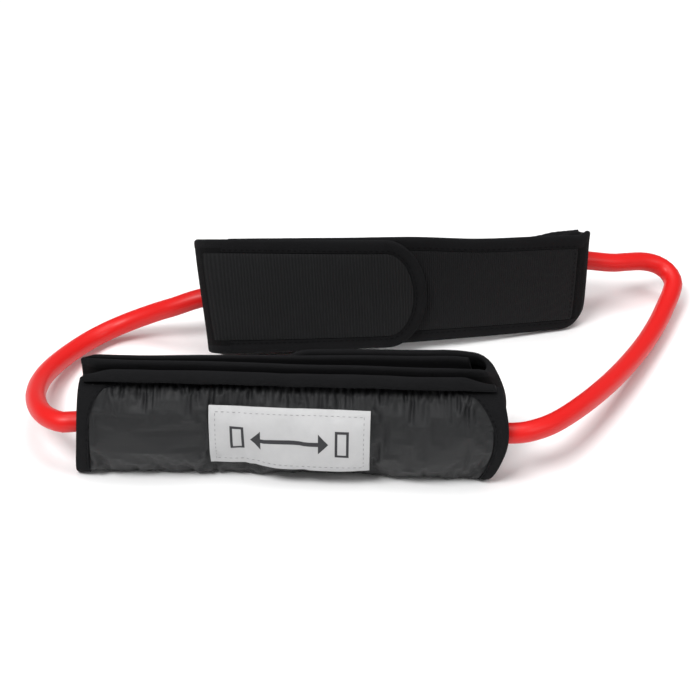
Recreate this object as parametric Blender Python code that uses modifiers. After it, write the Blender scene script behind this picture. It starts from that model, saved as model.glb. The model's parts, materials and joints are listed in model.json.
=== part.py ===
"""Resistance band: two padded ankle cuffs, back to back, on one closed loop of elastic tube.

Metres, +Z up, +X along the cuffs, +Y from the front cuff towards the rear one.
Each cuff is a strap bent into a flat ring. A tab closes the ring on one side, and a
padded sleeve on the other side holds the tube.
"""

import math

import bmesh
import bpy
from mathutils import Matrix, Vector

# Driving dimensions -------------------------------------------------------------
CUFF_LENGTH = 0.212
CUFF_HEIGHT = 0.061
HOLLOW_DEPTH = 0.012  # inside the flattened ring, where the ankle goes
STRAP_THICK = 0.0024
PATCH_THICK = 0.0008
BINDING_THICK = 0.0007
BINDING_LEG = 0.0070
GAP = 0.00035  # between pieces that touch in the real band

TUBE_ROOM = 1.25  # depth of the sleeve's space for the tube, in tube diameters
FRONT_PADDING = 0.00125  # sleeve in front of that space
BACK_PADDING = 0.0040  # and between it and the strap's face
ROLL_BELOW_EDGE = 0.0030  # of the piping, below the strap's upper edge
SLEEVE_SHELL = 0.0012
SLEEVE_ROLL = 0.0078  # thickness of the piping along the sleeve's top
SLEEVE_BASE_ROUND = (0.006, 0.008)
SLEEVE_SHOULDER = 0.018  # height where the front starts to lean back
LABEL_WIDTH = 0.078
LABEL_LOW = 0.0112
LABEL_TALL = 0.0330  # measured along the curved front
LABEL_THICK = 0.0006

TUBE_DIAMETER = 0.0104
TUBE_BORE = 0.0058
TUBE_HEIGHT = 0.0285  # centre of the tube above the cuff's lower edge
JOINER_LENGTH = 0.030

TAB_REACH = -0.013  # where the tab's tip ends along the cuff
TAB_ROUND = 0.022  # length of the tab's rounded end
PEEL_LINE = 0.046  # the tab is free from here to its tip
LOOP_END_SETBACK = 0.004

# Where each cuff stands: middle of its tube, turn about Z, lean at its left and right
FRONT_PLACE = (-0.0274, -0.0716)
FRONT_YAW = -2.5
FRONT_LEAN = (-8.5, -8.5)
REAR_PLACE = (0.0255, 0.0569)
REAR_YAW = 9.0
REAR_LEAN = (31.0, -7.0)
REAR_AXIS_HEIGHTS = (0.0286, 0.0315)  # middle of the tube, at the cuff's left and right

# The loop outside the sleeves, from the front cuff's left end round to the rear cuff's,
# as it lies with cuffs that reach this far each side of their middle
ARC_REACH = 0.106
LEFT_ARC = [
    (-0.1390, -0.0679, 0.0283),
    (-0.1445, -0.0650, 0.0276),
    (-0.1500, -0.0594, 0.0262),
    (-0.1550, -0.0498, 0.0238),
    (-0.1585, -0.0372, 0.0208),
    (-0.1595, -0.0232, 0.0174),
    (-0.1581, -0.0098, 0.0144),
    (-0.1545, 0.0035, 0.0116),
    (-0.1485, 0.0175, 0.0091),
    (-0.1406, 0.0298, 0.0078),
    (-0.1319, 0.0376, 0.0084),
    (-0.1228, 0.0411, 0.0109),
    (-0.1132, 0.0419, 0.0147),
    (-0.1037, 0.0412, 0.0190),
    (-0.0944, 0.0395, 0.0234),
]
# And from the front cuff's right end round to the rear cuff's
RIGHT_ARC = [
    (0.0859, -0.0757, 0.0282),
    (0.0928, -0.0727, 0.0277),
    (0.0993, -0.0682, 0.0268),
    (0.1065, -0.0610, 0.0252),
    (0.1160, -0.0493, 0.0227),
    (0.1274, -0.0335, 0.0194),
    (0.1392, -0.0156, 0.0162),
    (0.1505, 0.0033, 0.0134),
    (0.1612, 0.0228, 0.0114),
    (0.1704, 0.0414, 0.0107),
    (0.1774, 0.0576, 0.0111),
    (0.1826, 0.0700, 0.0128),
    (0.1843, 0.0775, 0.0146),
    (0.1818, 0.0842, 0.0170),
    (0.1756, 0.0874, 0.0198),
    (0.1672, 0.0862, 0.0225),
    (0.1577, 0.0818, 0.0250),
    (0.1480, 0.0776, 0.0272),
]
TUBE_STEP = 0.014
LEFT_SPLIT = 14  # the tube's front and rear parts meet after this point, counted from the joiner
RIGHT_SPLIT = 17

# Sizes that follow ---------------------------------------------------------------
SLEEVE_DEPTH = BACK_PADDING + TUBE_ROOM * TUBE_DIAMETER + FRONT_PADDING
SLEEVE_HEIGHT = CUFF_HEIGHT - SLEEVE_ROLL - ROLL_BELOW_EDGE
TUBE_OUT = BACK_PADDING + TUBE_DIAMETER / 2  # centre of the tube out from the strap's face
EDGE = BINDING_THICK + GAP  # how far a binding stands out from the strap it covers
FOLD_RADIUS = STRAP_THICK / 2 + EDGE  # outside of the binding's rounded fold
STRAP_LOW = FOLD_RADIUS
STRAP_HIGH = CUFF_HEIGHT - FOLD_RADIUS
FACE_LOW = BINDING_LEG + GAP
FACE_HIGH = CUFF_HEIGHT - BINDING_LEG - GAP
INNER_Y = HOLLOW_DEPTH / 2 + STRAP_THICK / 2
TAB_Y = INNER_Y + STRAP_THICK + 2 * PATCH_THICK + 3 * GAP
TAB_OUTER_Y = TAB_Y + STRAP_THICK / 2 + GAP + PATCH_THICK
LABEL_FACE_Y = -(HOLLOW_DEPTH / 2 + STRAP_THICK)
SLEEVE_BACK = EDGE + GAP  # the sleeve's back clears the strap's bindings
LEFT_FOLD_X = -CUFF_LENGTH / 2 + INNER_Y + FOLD_RADIUS
RIGHT_FOLD_RADIUS = (TAB_Y + INNER_Y) / 2
RIGHT_FOLD_Y = (TAB_Y - INNER_Y) / 2
RIGHT_FOLD_X = CUFF_LENGTH / 2 - RIGHT_FOLD_RADIUS - FOLD_RADIUS
LOOP_END_X = RIGHT_FOLD_X - LOOP_END_SETBACK
SLEEVE_HALF = CUFF_LENGTH / 2 - BINDING_THICK - SLEEVE_SHELL / 2 - GAP
TUBE_Y = LABEL_FACE_Y - TUBE_OUT
STEP = 0.011  # spacing of the sections along a cuff


# Scene and materials ---------------------------------------------------------------
for old in list(bpy.data.objects):
    bpy.data.objects.remove(old, do_unlink=True)

parts = bpy.data.collections.new("resistance_band")
cutters = bpy.data.collections.new("cutters")
bpy.context.scene.collection.children.link(parts)
bpy.context.scene.collection.children.link(cutters)


def material(name, colour, roughness, metallic=0.0):
    made = bpy.data.materials.new(name)
    made.use_nodes = True
    shader = made.node_tree.nodes["Principled BSDF"]
    shader.inputs["Base Color"].default_value = (*colour, 1.0)
    shader.inputs["Roughness"].default_value = roughness
    shader.inputs["Metallic"].default_value = metallic
    return made


KNIT = material("black_knit", (0.012, 0.012, 0.013), 0.95)
NYLON = material("black_nylon", (0.026, 0.027, 0.029), 0.55)
RIBBED = material("ribbed_loop", (0.014, 0.014, 0.015), 0.9)
HOOKS = material("hook_tape", (0.02, 0.02, 0.021), 0.6)
FOAM = material("grey_foam", (0.1, 0.1, 0.105), 0.95)
LABEL = material("white_label", (0.75, 0.75, 0.75), 0.7)
LATEX = material("red_latex", (0.68, 0.018, 0.022), 0.35)
NYLON_PLUG = material("nylon_joiner", (0.6, 0.6, 0.58), 0.5)


def keep(obj, surface):
    obj.data.materials.clear()
    obj.data.materials.append(surface)
    parts.objects.link(obj)
    return obj


# Shapes ---------------------------------------------------------------
def spread(start, end, step=STEP):
    """Even stations from start to end, no further apart than step."""
    count = max(1, math.ceil(abs(end - start) / step))
    return [start + (end - start) * i / count for i in range(count + 1)]


def solid(name, along, across, point, surface):
    """A closed slab: a grid of along x across stations, extruded once, each corner put at point()."""
    bm = bmesh.new()
    bmesh.ops.create_grid(bm, x_segments=len(along) - 1, y_segments=len(across) - 1, size=0.5)
    raised = bmesh.ops.extrude_face_region(bm, geom=bm.faces[:])
    for vert in raised["geom"]:
        if isinstance(vert, bmesh.types.BMVert):
            vert.co.z = 1.0
    for vert in bm.verts:
        u = along[round((vert.co.x + 0.5) * (len(along) - 1))]
        v = across[round((vert.co.y + 0.5) * (len(across) - 1))]
        vert.co = point(u, v, round(vert.co.z))
    bmesh.ops.recalc_face_normals(bm, faces=bm.faces)
    if bm.calc_volume(signed=True) < 0:
        bmesh.ops.reverse_faces(bm, faces=bm.faces)
    mesh = bpy.data.meshes.new(name)
    bm.to_mesh(mesh)
    bm.free()
    return keep(bpy.data.objects.new(name, mesh), surface)


def rod(name, route, radius, surface):
    """A round rod along a route of points, closed at both ends."""
    curve = bpy.data.curves.new(name, "CURVE")
    curve.dimensions = "3D"
    curve.bevel_depth = radius
    curve.bevel_resolution = 2
    curve.use_fill_caps = True
    spline = curve.splines.new("POLY")
    spline.points.add(len(route) - 1)
    for slot, place in zip(spline.points, route):
        slot.co = (*place, 1.0)
    obj = bpy.data.objects.new(name, curve)
    return keep(obj, surface)


def to_mesh(obj):
    """The same object with its curve turned into a mesh, ready for a Boolean."""
    bpy.context.view_layer.update()
    graph = bpy.context.evaluated_depsgraph_get()
    mesh = bpy.data.meshes.new_from_object(obj.evaluated_get(graph))
    bm = bmesh.new()
    bm.from_mesh(mesh)
    bmesh.ops.remove_doubles(bm, verts=bm.verts, dist=1e-6)
    bmesh.ops.recalc_face_normals(bm, faces=bm.faces)
    bm.to_mesh(mesh)
    bm.free()
    made = bpy.data.objects.new(obj.name + "_solid", mesh)
    made.matrix_world = obj.matrix_world
    name = obj.name
    surface = obj.data.materials[0]
    bpy.data.objects.remove(obj, do_unlink=True)
    made.name = name
    return keep(made, surface)


def cylinder_between(name, start, end, radius):
    """A cutter: a plain cylinder from start to end."""
    bm = bmesh.new()
    axis = end - start
    bmesh.ops.create_cone(
        bm, cap_ends=True, segments=24, radius1=radius, radius2=radius, depth=axis.length
    )
    turn = axis.to_track_quat("Z", "Y").to_matrix().to_4x4()
    bmesh.ops.transform(bm, matrix=Matrix.Translation((start + end) / 2) @ turn, verts=bm.verts)
    mesh = bpy.data.meshes.new(name)
    bm.to_mesh(mesh)
    bm.free()
    cutter = bpy.data.objects.new(name, mesh)
    cutter.hide_render = True
    cutter.display_type = "WIRE"
    cutters.objects.link(cutter)
    return cutter


def cut(obj, cutter):
    bore = obj.modifiers.new("bore", "BOOLEAN")
    bore.operation = "DIFFERENCE"
    bore.solver = "EXACT"
    bore.object = cutter


# The strap's path ---------------------------------------------------------------
def ring_station(side, x=0.0, turn=0.0):
    """Middle of the strap and its outward direction, for one side of the ring or one of its folds."""
    if side == "loop":
        return Vector((x, INNER_Y, 0)), Vector((0, 1, 0))
    if side == "left_fold":
        out = Vector((-math.sin(turn), math.cos(turn), 0))
        return Vector((LEFT_FOLD_X, 0, 0)) + out * INNER_Y, out
    if side == "label":
        return Vector((x, -INNER_Y, 0)), Vector((0, -1, 0))
    if side == "right_fold":
        out = Vector((math.sin(turn), -math.cos(turn), 0))
        return Vector((RIGHT_FOLD_X, RIGHT_FOLD_Y, 0)) + out * RIGHT_FOLD_RADIUS, out
    return Vector((x, TAB_Y, 0)), Vector((0, 1, 0))


def ring_stations():
    """The whole strap, from its end under the tab, round the ring, to the line where the tab peels."""
    half_turn = [math.pi * i / 10 for i in range(1, 10)]
    stations = [ring_station("loop", x) for x in spread(LOOP_END_X, LEFT_FOLD_X)]
    stations += [ring_station("left_fold", turn=turn) for turn in half_turn]
    stations += [ring_station("label", x) for x in spread(LEFT_FOLD_X, RIGHT_FOLD_X)]
    stations += [ring_station("right_fold", turn=turn) for turn in half_turn]
    stations += [ring_station("tab", x) for x in spread(RIGHT_FOLD_X, PEEL_LINE + GAP / 2)]
    return stations


def fold_section(half):
    """A binding's fold over an edge: (distance off the middle, depth below the edge) for each layer."""
    inner = half + GAP
    outer = inner + BINDING_THICK
    rows = [((-inner, BINDING_LEG), (-outer, BINDING_LEG))]
    for step in range(7):
        turn = math.pi * step / 6
        rows.append(
            tuple(
                (-r * math.cos(turn), outer - r * math.sin(turn)) for r in (inner, outer)
            )
        )
    rows.append(((inner, BINDING_LEG), (outer, BINDING_LEG)))
    return rows


# The tab's outline ---------------------------------------------------------------
def tab_half_height(x, inset):
    """Half the tab's height at x, for an outline drawn inset from the edge."""
    reach = TAB_ROUND - inset
    past = (TAB_REACH + TAB_ROUND - x) / reach
    tall = CUFF_HEIGHT / 2 - inset
    if past <= 0:
        return tall
    return tall * math.sqrt(max(0.0, 1 - past * past))


def tab_stations(inset):
    """Stations from the peel line to the tip, closer together where the end is round."""
    straight = spread(PEEL_LINE - GAP / 2, TAB_REACH + TAB_ROUND)
    reach = TAB_ROUND - inset
    turned = [math.radians(angle) for angle in (12, 24, 36, 48, 60, 70, 78, 84)]
    return straight + [TAB_REACH + TAB_ROUND - reach * math.sin(turn) for turn in turned]


def tab_outline():
    """The tab's edge as (point, inward direction), from the peel line round the tip and back."""
    centre = TAB_REACH + TAB_ROUND
    tall = CUFF_HEIGHT / 2
    middle = CUFF_HEIGHT / 2
    straight = spread(PEEL_LINE - GAP / 2, centre)
    line = [((x, middle + tall), (0.0, -1.0)) for x in straight[:-1]]
    for step in range(19):
        turn = math.pi * step / 18
        px = centre - TAB_ROUND * math.sin(turn)
        pz = middle + tall * math.cos(turn)
        nx = math.sin(turn) / TAB_ROUND
        nz = -math.cos(turn) / tall
        length = math.hypot(nx, nz)
        line.append(((px, pz), (nx / length, nz / length)))
    line += [((x, middle - tall), (0.0, 1.0)) for x in reversed(straight[:-1])]
    return line


# The sleeve's section ---------------------------------------------------------------
def sleeve_front():
    """The sleeve's outside from its lower back edge to its upper one, as (out, up, normal) rows."""
    round_out, round_up = SLEEVE_BASE_ROUND
    rows = [(SLEEVE_BACK, 0.0), (SLEEVE_DEPTH - round_out, 0.0)]
    for step in range(1, 6):
        turn = math.pi / 2 * step / 5
        out = SLEEVE_DEPTH - round_out + round_out * math.sin(turn)
        rows.append((out, round_up - round_up * math.cos(turn)))
    depth = SLEEVE_DEPTH - SLEEVE_BACK
    tall = SLEEVE_HEIGHT - SLEEVE_SHOULDER
    for step in range(9):
        turn = math.pi / 2 * step / 8
        out = SLEEVE_BACK + depth * math.cos(turn) ** 0.85
        rows.append((out, SLEEVE_SHOULDER + tall * math.sin(turn) ** 0.95))
    section = []
    for index, (out, up) in enumerate(rows):
        before = rows[max(index - 1, 0)]
        after = rows[min(index + 1, len(rows) - 1)]
        run, rise = after[0] - before[0], after[1] - before[1]
        length = math.hypot(run, rise)
        normal = (rise / length, -run / length)
        if index == 0:
            normal = (0.0, -1.0)
        if index == len(rows) - 1:
            normal = (0.0, 1.0)
        section.append((out, up, normal))
    return section


def label_rows():
    """The part of the sleeve's front that the label covers, evenly stepped, as (out, up, normal)."""
    section = sleeve_front()
    lengths = [0.0]
    for (out_a, up_a, _), (out_b, up_b, _) in zip(section, section[1:]):
        lengths.append(lengths[-1] + math.hypot(out_b - out_a, up_b - up_a))
    start = None
    for index, (_, up, _) in enumerate(section):
        if index and up >= LABEL_LOW and start is None:
            before = section[index - 1][1]
            share = (LABEL_LOW - before) / (up - before)
            start = lengths[index - 1] + share * (lengths[index] - lengths[index - 1])
    stops = [start] + [s for s in lengths if start < s < start + LABEL_TALL] + [start + LABEL_TALL]
    rows = []
    for stop in stops:
        index = max(i for i in range(len(lengths) - 1) if lengths[i] <= stop)
        share = (stop - lengths[index]) / (lengths[index + 1] - lengths[index])
        low, high = section[index], section[index + 1]
        out = low[0] + share * (high[0] - low[0])
        up = low[1] + share * (high[1] - low[1])
        normal = Vector(low[2]).lerp(Vector(high[2]), share).normalized()
        rows.append((out, up, tuple(normal)))
    return rows


# Where a cuff stands ---------------------------------------------------------------
class Stance:
    """Carries a point of an upright cuff to where that point of the leaning cuff stands."""

    def __init__(self, place, yaw, lean, axis_heights, turned):
        self.centre = Vector((*place, 0))
        self.yaw = math.radians(yaw)
        self.lean = [math.radians(angle) for angle in lean]
        self.axis_heights = axis_heights
        self.side = -1 if turned else 1
        self.flat_base = not turned

    def between(self, ends, x):
        share = (self.side * x + CUFF_LENGTH / 2) / CUFF_LENGTH
        return ends[0] + (ends[1] - ends[0]) * share

    def put(self, x, y, z):
        lean = self.between(self.lean, x)
        away = self.side * (y - TUBE_Y)
        above = z - TUBE_HEIGHT
        if self.flat_base:
            back = away + above * math.sin(lean)
            height = z * math.cos(lean)
        else:
            back = away * math.cos(lean) + above * math.sin(lean)
            axis = self.between(self.axis_heights, x)
            height = axis - away * math.sin(lean) + above * math.cos(lean)
        along = self.side * x
        turn = Matrix.Rotation(self.yaw, 3, "Z")
        return self.centre + turn @ Vector((along, back, height))

    def upward(self, x):
        return (self.put(x, TAB_OUTER_Y, 1.0) - self.put(x, TAB_OUTER_Y, 0.0)).normalized()


# One cuff ---------------------------------------------------------------
def build_cuff(name, stance):
    ring = ring_stations()
    hinge = bpy.data.objects.new(name + "_tab_hinge", None)
    hinge.location = stance.put(PEEL_LINE, TAB_OUTER_Y, CUFF_HEIGHT / 2)
    swivel = bpy.data.objects.new(name + "_cuff_swivel", None)
    swivel.location = stance.put(0, TUBE_Y, TUBE_HEIGHT)
    for empty in (hinge, swivel):
        parts.objects.link(empty)
    body = []
    flap = []

    def on_ring(index, off, up):
        middle, outward = ring[index]
        spot = middle + outward * off
        return stance.put(spot.x, spot.y, up)

    def on_label_face(x, out, up):
        return stance.put(x, LABEL_FACE_Y - out, up)

    # The padded strap, bent into the ring.
    half = STRAP_THICK / 2
    everywhere = list(range(len(ring)))
    body.append(
        solid(
            name + "_strap",
            everywhere,
            spread(STRAP_LOW, STRAP_HIGH),
            lambda i, z, w: on_ring(i, half * (2 * w - 1), z),
            KNIT,
        )
    )
    # Bindings folded over the strap's two long edges.
    fold = fold_section(half)
    for edge, height, sign in (("top", CUFF_HEIGHT, -1), ("bottom", 0.0, 1)):
        body.append(
            solid(
                f"{name}_{edge}_binding",
                everywhere,
                list(range(len(fold))),
                lambda i, r, w, h=height, s=sign: on_ring(i, fold[r][w][0], h + s * fold[r][w][1]),
                KNIT,
            )
        )
    # The loop patch, on the outside of the layer that the tab covers.
    off = half + GAP
    body.append(
        solid(
            name + "_loop_patch",
            spread(LOOP_END_X, LEFT_FOLD_X),
            spread(FACE_LOW, FACE_HIGH),
            lambda x, z, w: stance.put(x, INNER_Y + off + PATCH_THICK * w, z),
            RIBBED,
        )
    )
    # The patch on the fixed part of the tab.
    body.append(
        solid(
            name + "_tab_patch",
            spread(RIGHT_FOLD_X, PEEL_LINE + GAP / 2),
            spread(FACE_LOW, FACE_HIGH),
            lambda x, z, w: stance.put(x, TAB_Y + off + PATCH_THICK * w, z),
            RIBBED,
        )
    )

    # The free end of the tab, with its binding, its outer patch and its hooks.
    def leaf(part, inset, low, thick, surface):
        middle = CUFF_HEIGHT / 2
        return solid(
            f"{name}_{part}",
            tab_stations(inset),
            [-1.0, -0.5, 0.0, 0.5, 1.0],
            lambda x, v, w: stance.put(
                x, TAB_Y + low + thick * w, middle + v * tab_half_height(x, inset)
            ),
            surface,
        )

    flap.append(leaf("tab_end", FOLD_RADIUS, -half, STRAP_THICK, KNIT))
    flap.append(leaf("tab_end_patch", FACE_LOW, off, PATCH_THICK, RIBBED))
    flap.append(leaf("hook_patch", FACE_LOW, -off - PATCH_THICK, PATCH_THICK, HOOKS))
    outline = tab_outline()

    def on_tab_edge(index, row, layer):
        (x, z), (inward_x, inward_z) = outline[index]
        off_middle, depth = fold[row][layer]
        return stance.put(x + inward_x * depth, TAB_Y + off_middle, z + inward_z * depth)

    flap.append(
        solid(
            name + "_tab_end_binding",
            list(range(len(outline))),
            list(range(len(fold))),
            on_tab_edge,
            KNIT,
        )
    )

    # The sleeve: shell, foam, piping along the top, and a binding at each mouth.
    section = sleeve_front()
    rows = list(range(len(section)))

    def on_sleeve(x, row, raised):
        out, up, (normal_out, normal_up) = section[row]
        return on_label_face(x, out + normal_out * raised, up + normal_up * raised)

    body.append(
        solid(
            name + "_sleeve_shell",
            spread(-SLEEVE_HALF, SLEEVE_HALF),
            rows,
            lambda x, row, w: on_sleeve(x, row, -SLEEVE_SHELL * w),
            NYLON,
        )
    )
    foam_half = SLEEVE_HALF - BINDING_LEG - 2 * GAP
    inset = SLEEVE_SHELL + GAP

    def on_foam(x, row, w):
        out, up, (normal_out, normal_up) = section[row]
        low, high = inset, SLEEVE_HEIGHT - inset
        if w:
            return on_label_face(x, SLEEVE_BACK, min(max(up, low), high))
        spot_out = max(out - normal_out * inset, SLEEVE_BACK + 0.0008)
        return on_label_face(x, spot_out, min(max(up - normal_up * inset, low), high))

    foam_rows = [row for row in rows if inset < section[row][1] < SLEEVE_HEIGHT - inset]
    foam = solid(name + "_sleeve_foam", spread(-foam_half, foam_half), foam_rows, on_foam, FOAM)
    body.append(foam)
    axis = [stance.put(x, TUBE_Y, TUBE_HEIGHT) for x in (-0.12, 0.12)]
    cut(foam, cylinder_between(name + "_tube_bore", *axis, TUBE_DIAMETER / 2 + GAP))

    roll = SLEEVE_ROLL / 2
    roll_out = SLEEVE_BACK + roll
    roll_up = SLEEVE_HEIGHT + EDGE + GAP + roll
    body.append(
        rod(
            name + "_sleeve_piping",
            [on_label_face(x, roll_out, roll_up) for x in spread(-SLEEVE_HALF, SLEEVE_HALF)],
            roll,
            KNIT,
        )
    )
    mouth_fold = fold_section(SLEEVE_SHELL / 2)
    for side, sign in (("left", -1), ("right", 1)):
        edge_x = sign * (CUFF_LENGTH / 2)

        def on_mouth(row, step, w, edge=edge_x, s=sign):
            off_middle, depth = mouth_fold[step][w]
            return on_sleeve(edge - s * depth, row, off_middle - SLEEVE_SHELL / 2)

        mouth_rows = [row for row in rows if section[row][1] > EDGE]
        body.append(
            solid(
                f"{name}_{side}_mouth_binding",
                mouth_rows,
                list(range(len(mouth_fold))),
                on_mouth,
                KNIT,
            )
        )

    # The label, sewn flat on the sleeve's front.
    patch = label_rows()

    def on_label(x, row, w):
        out, up, (normal_out, normal_up) = patch[row]
        raised = GAP + LABEL_THICK * w
        return on_label_face(x, out + normal_out * raised, up + normal_up * raised)

    body.append(
        solid(
            name + "_label",
            spread(-LABEL_WIDTH / 2, LABEL_WIDTH / 2),
            list(range(len(patch))),
            on_label,
            LABEL,
        )
    )

    bpy.context.view_layer.update()
    for empty, held in ((swivel, body), (hinge, flap)):
        for obj in held:
            obj.parent = empty
            obj.matrix_parent_inverse = empty.matrix_world.inverted()


front = Stance(FRONT_PLACE, FRONT_YAW, FRONT_LEAN, None, turned=False)
rear = Stance(REAR_PLACE, REAR_YAW, REAR_LEAN, REAR_AXIS_HEIGHTS, turned=True)
build_cuff("front", front)
build_cuff("rear", rear)


# The tube ---------------------------------------------------------------
def smooth_through(points, step):
    """Points about a step apart along a smooth curve that passes through all the given points."""
    ends = [2 * points[0] - points[1], *points, 2 * points[-1] - points[-2]]
    fine = [points[0]]
    for a, b, c, d in zip(ends, ends[1:], ends[2:], ends[3:]):
        for part in range(1, 13):
            t = part / 12
            fine.append(
                0.5 * (2 * b + (c - a) * t + (2 * a - 5 * b + 4 * c - d) * t**2
                       + (3 * b - a - 3 * c + d) * t**3)
            )
    lengths = [0.0]
    for first, second in zip(fine, fine[1:]):
        lengths.append(lengths[-1] + (second - first).length)
    count = round(lengths[-1] / step)
    evenly = []
    for index in range(count + 1):
        want = lengths[-1] * index / count
        at = max(i for i in range(len(lengths) - 1) if lengths[i] <= want + 1e-12)
        share = (want - lengths[at]) / (lengths[at + 1] - lengths[at])
        evenly.append(fine[at].lerp(fine[at + 1], min(share, 1.0)))
    return evenly


def mouth_shift(stance, end):
    """How far a sleeve's mouth is from where the arcs were laid out for it."""
    laid_out = math.copysign(ARC_REACH, end)
    return stance.put(end, TUBE_Y, TUBE_HEIGHT) - stance.put(laid_out, TUBE_Y, TUBE_HEIGHT)


def half_loop(arc, front_end, rear_end):
    """One side of the loop, from the middle of the front sleeve round to the middle of the rear one."""
    first = [front.put(x, TUBE_Y, TUBE_HEIGHT) for x in spread(0, front_end, 0.016)]
    last = [rear.put(x, TUBE_Y, TUBE_HEIGHT) for x in spread(rear_end, 0, 0.016)]
    start, end = mouth_shift(front, front_end), mouth_shift(rear, rear_end)
    outside = []
    for index, place in enumerate(arc):
        spot = Vector(place) + start.lerp(end, index / (len(arc) - 1))
        spot.z = max(spot.z, TUBE_DIAMETER / 2 + 2 * GAP)
        outside.append(spot)
    return smooth_through(first + outside + last, TUBE_STEP)


def split(route, at):
    """The route in two, with a gap across its own direction, halfway between two points."""
    middle = (route[at] + route[at + 1]) / 2
    step = (route[at + 1] - route[at]).normalized() * GAP / 2
    return route[: at + 1] + [middle - step], [middle + step] + route[at + 1 :]


def moved_in(route):
    """The same route, its first point moved in by half a gap."""
    return [route[0] + (route[1] - route[0]).normalized() * GAP / 2] + route[1:]


reach = CUFF_LENGTH / 2
tube_radius = TUBE_DIAMETER / 2
# The rear cuff is turned round, so its own +X end is on the left.
left_front, left_rear = split(half_loop(LEFT_ARC, -reach, reach), LEFT_SPLIT)
right_front, right_rear = split(half_loop(RIGHT_ARC, reach, -reach), RIGHT_SPLIT)
tube_left = to_mesh(rod("tube_front_left", moved_in(left_front), tube_radius, LATEX))
tube_right = to_mesh(rod("tube_front_right", moved_in(right_front), tube_radius, LATEX))
rod("tube_rear", left_rear + right_rear[-2::-1], tube_radius, LATEX)

# The barbed plug that joins the tube's two ends, and the bore that it sits in.
plug_ends = [front.put(x, TUBE_Y, TUBE_HEIGHT) for x in (-JOINER_LENGTH / 2, JOINER_LENGTH / 2)]
bore_ends = [
    front.put(x, TUBE_Y, TUBE_HEIGHT)
    for x in (-JOINER_LENGTH / 2 - GAP, JOINER_LENGTH / 2 + GAP)
]
plug_bore = cylinder_between("plug_bore", *bore_ends, TUBE_BORE / 2 + GAP)
cut(tube_left, plug_bore)
cut(tube_right, plug_bore)


def build_joiner():
    """A turned plug: three barbs on each side of its middle."""
    root = TUBE_BORE / 2 - 0.0006
    crest = TUBE_BORE / 2
    pitch = JOINER_LENGTH / 8
    profile = [(0.0, JOINER_LENGTH / 2), (root, JOINER_LENGTH / 2)]
    for barb in range(3):
        top = JOINER_LENGTH / 2 - pitch * (barb + 1)
        profile += [(crest, top), (root, top - pitch * 0.1)]
    profile += [(x, -z) for x, z in reversed(profile)]
    mesh = bpy.data.meshes.new("tube_joiner")
    bm = bmesh.new()
    corners = [bm.verts.new((x, 0, z)) for x, z in profile]
    for first, second in zip(corners, corners[1:]):
        bm.edges.new((first, second))
    bm.to_mesh(mesh)
    bm.free()
    plug = keep(bpy.data.objects.new("tube_joiner", mesh), NYLON_PLUG)
    plug.location = (plug_ends[0] + plug_ends[1]) / 2
    plug.rotation_mode = "QUATERNION"
    plug.rotation_quaternion = (plug_ends[1] - plug_ends[0]).to_track_quat("Z", "Y")
    turned = plug.modifiers.new("turned", "SCREW")
    turned.steps = 24
    turned.render_steps = 24
    turned.use_merge_vertices = True
    turned.merge_threshold = 0.00001
    turned.use_normal_calculate = True
    return plug


build_joiner()
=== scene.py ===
# %% [markdown]
# # A resistance band with two ankle cuffs
# A closed loop of red elastic tube runs through two padded cuffs. Each cuff is a soft
# strap bent into a flat ring and closed with a hook-and-loop tab, and a padded nylon
# sleeve on its other side holds the tube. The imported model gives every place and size:
# this notebook puts the real cloth, stitches and rubber where its plain solids are.

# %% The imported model
import json
import math

import bmesh
import bpy
from mathutils import Matrix, Vector, noise
from mathutils.bvhtree import BVHTree

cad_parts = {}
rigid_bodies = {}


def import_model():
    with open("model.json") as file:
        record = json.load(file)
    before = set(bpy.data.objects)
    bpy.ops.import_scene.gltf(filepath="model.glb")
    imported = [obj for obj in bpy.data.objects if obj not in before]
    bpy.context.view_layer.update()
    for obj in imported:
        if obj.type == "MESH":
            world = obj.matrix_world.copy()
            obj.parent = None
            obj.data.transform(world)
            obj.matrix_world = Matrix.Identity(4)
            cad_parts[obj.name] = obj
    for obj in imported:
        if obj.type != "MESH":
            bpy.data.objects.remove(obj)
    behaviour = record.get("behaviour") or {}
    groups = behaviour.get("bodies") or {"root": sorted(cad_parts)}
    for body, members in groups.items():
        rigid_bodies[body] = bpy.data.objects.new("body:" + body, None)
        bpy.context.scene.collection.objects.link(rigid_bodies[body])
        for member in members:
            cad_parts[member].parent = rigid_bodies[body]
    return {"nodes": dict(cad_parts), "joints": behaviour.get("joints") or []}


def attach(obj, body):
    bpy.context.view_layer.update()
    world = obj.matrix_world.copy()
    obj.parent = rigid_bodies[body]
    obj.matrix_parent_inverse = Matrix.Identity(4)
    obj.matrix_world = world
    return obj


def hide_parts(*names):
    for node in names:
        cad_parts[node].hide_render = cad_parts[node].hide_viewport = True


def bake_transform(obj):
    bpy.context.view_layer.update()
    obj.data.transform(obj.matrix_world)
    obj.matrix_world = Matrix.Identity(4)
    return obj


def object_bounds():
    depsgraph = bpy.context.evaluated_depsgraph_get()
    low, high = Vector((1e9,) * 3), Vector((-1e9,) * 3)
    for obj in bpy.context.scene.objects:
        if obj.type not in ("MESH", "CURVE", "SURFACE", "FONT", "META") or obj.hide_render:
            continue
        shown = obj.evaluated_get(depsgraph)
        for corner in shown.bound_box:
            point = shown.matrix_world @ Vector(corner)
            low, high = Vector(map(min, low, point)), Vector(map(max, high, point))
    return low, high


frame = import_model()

for old in [obj for obj in bpy.data.objects if obj.name in ("Cube", "Light", "Camera")]:
    bpy.data.objects.remove(old, do_unlink=True)
bpy.context.view_layer.update()
cad_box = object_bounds()
joints = {joint["name"]: joint for joint in frame["joints"]}
print("CAD box", [round(side, 4) for side in cad_box[1] - cad_box[0]])

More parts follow.
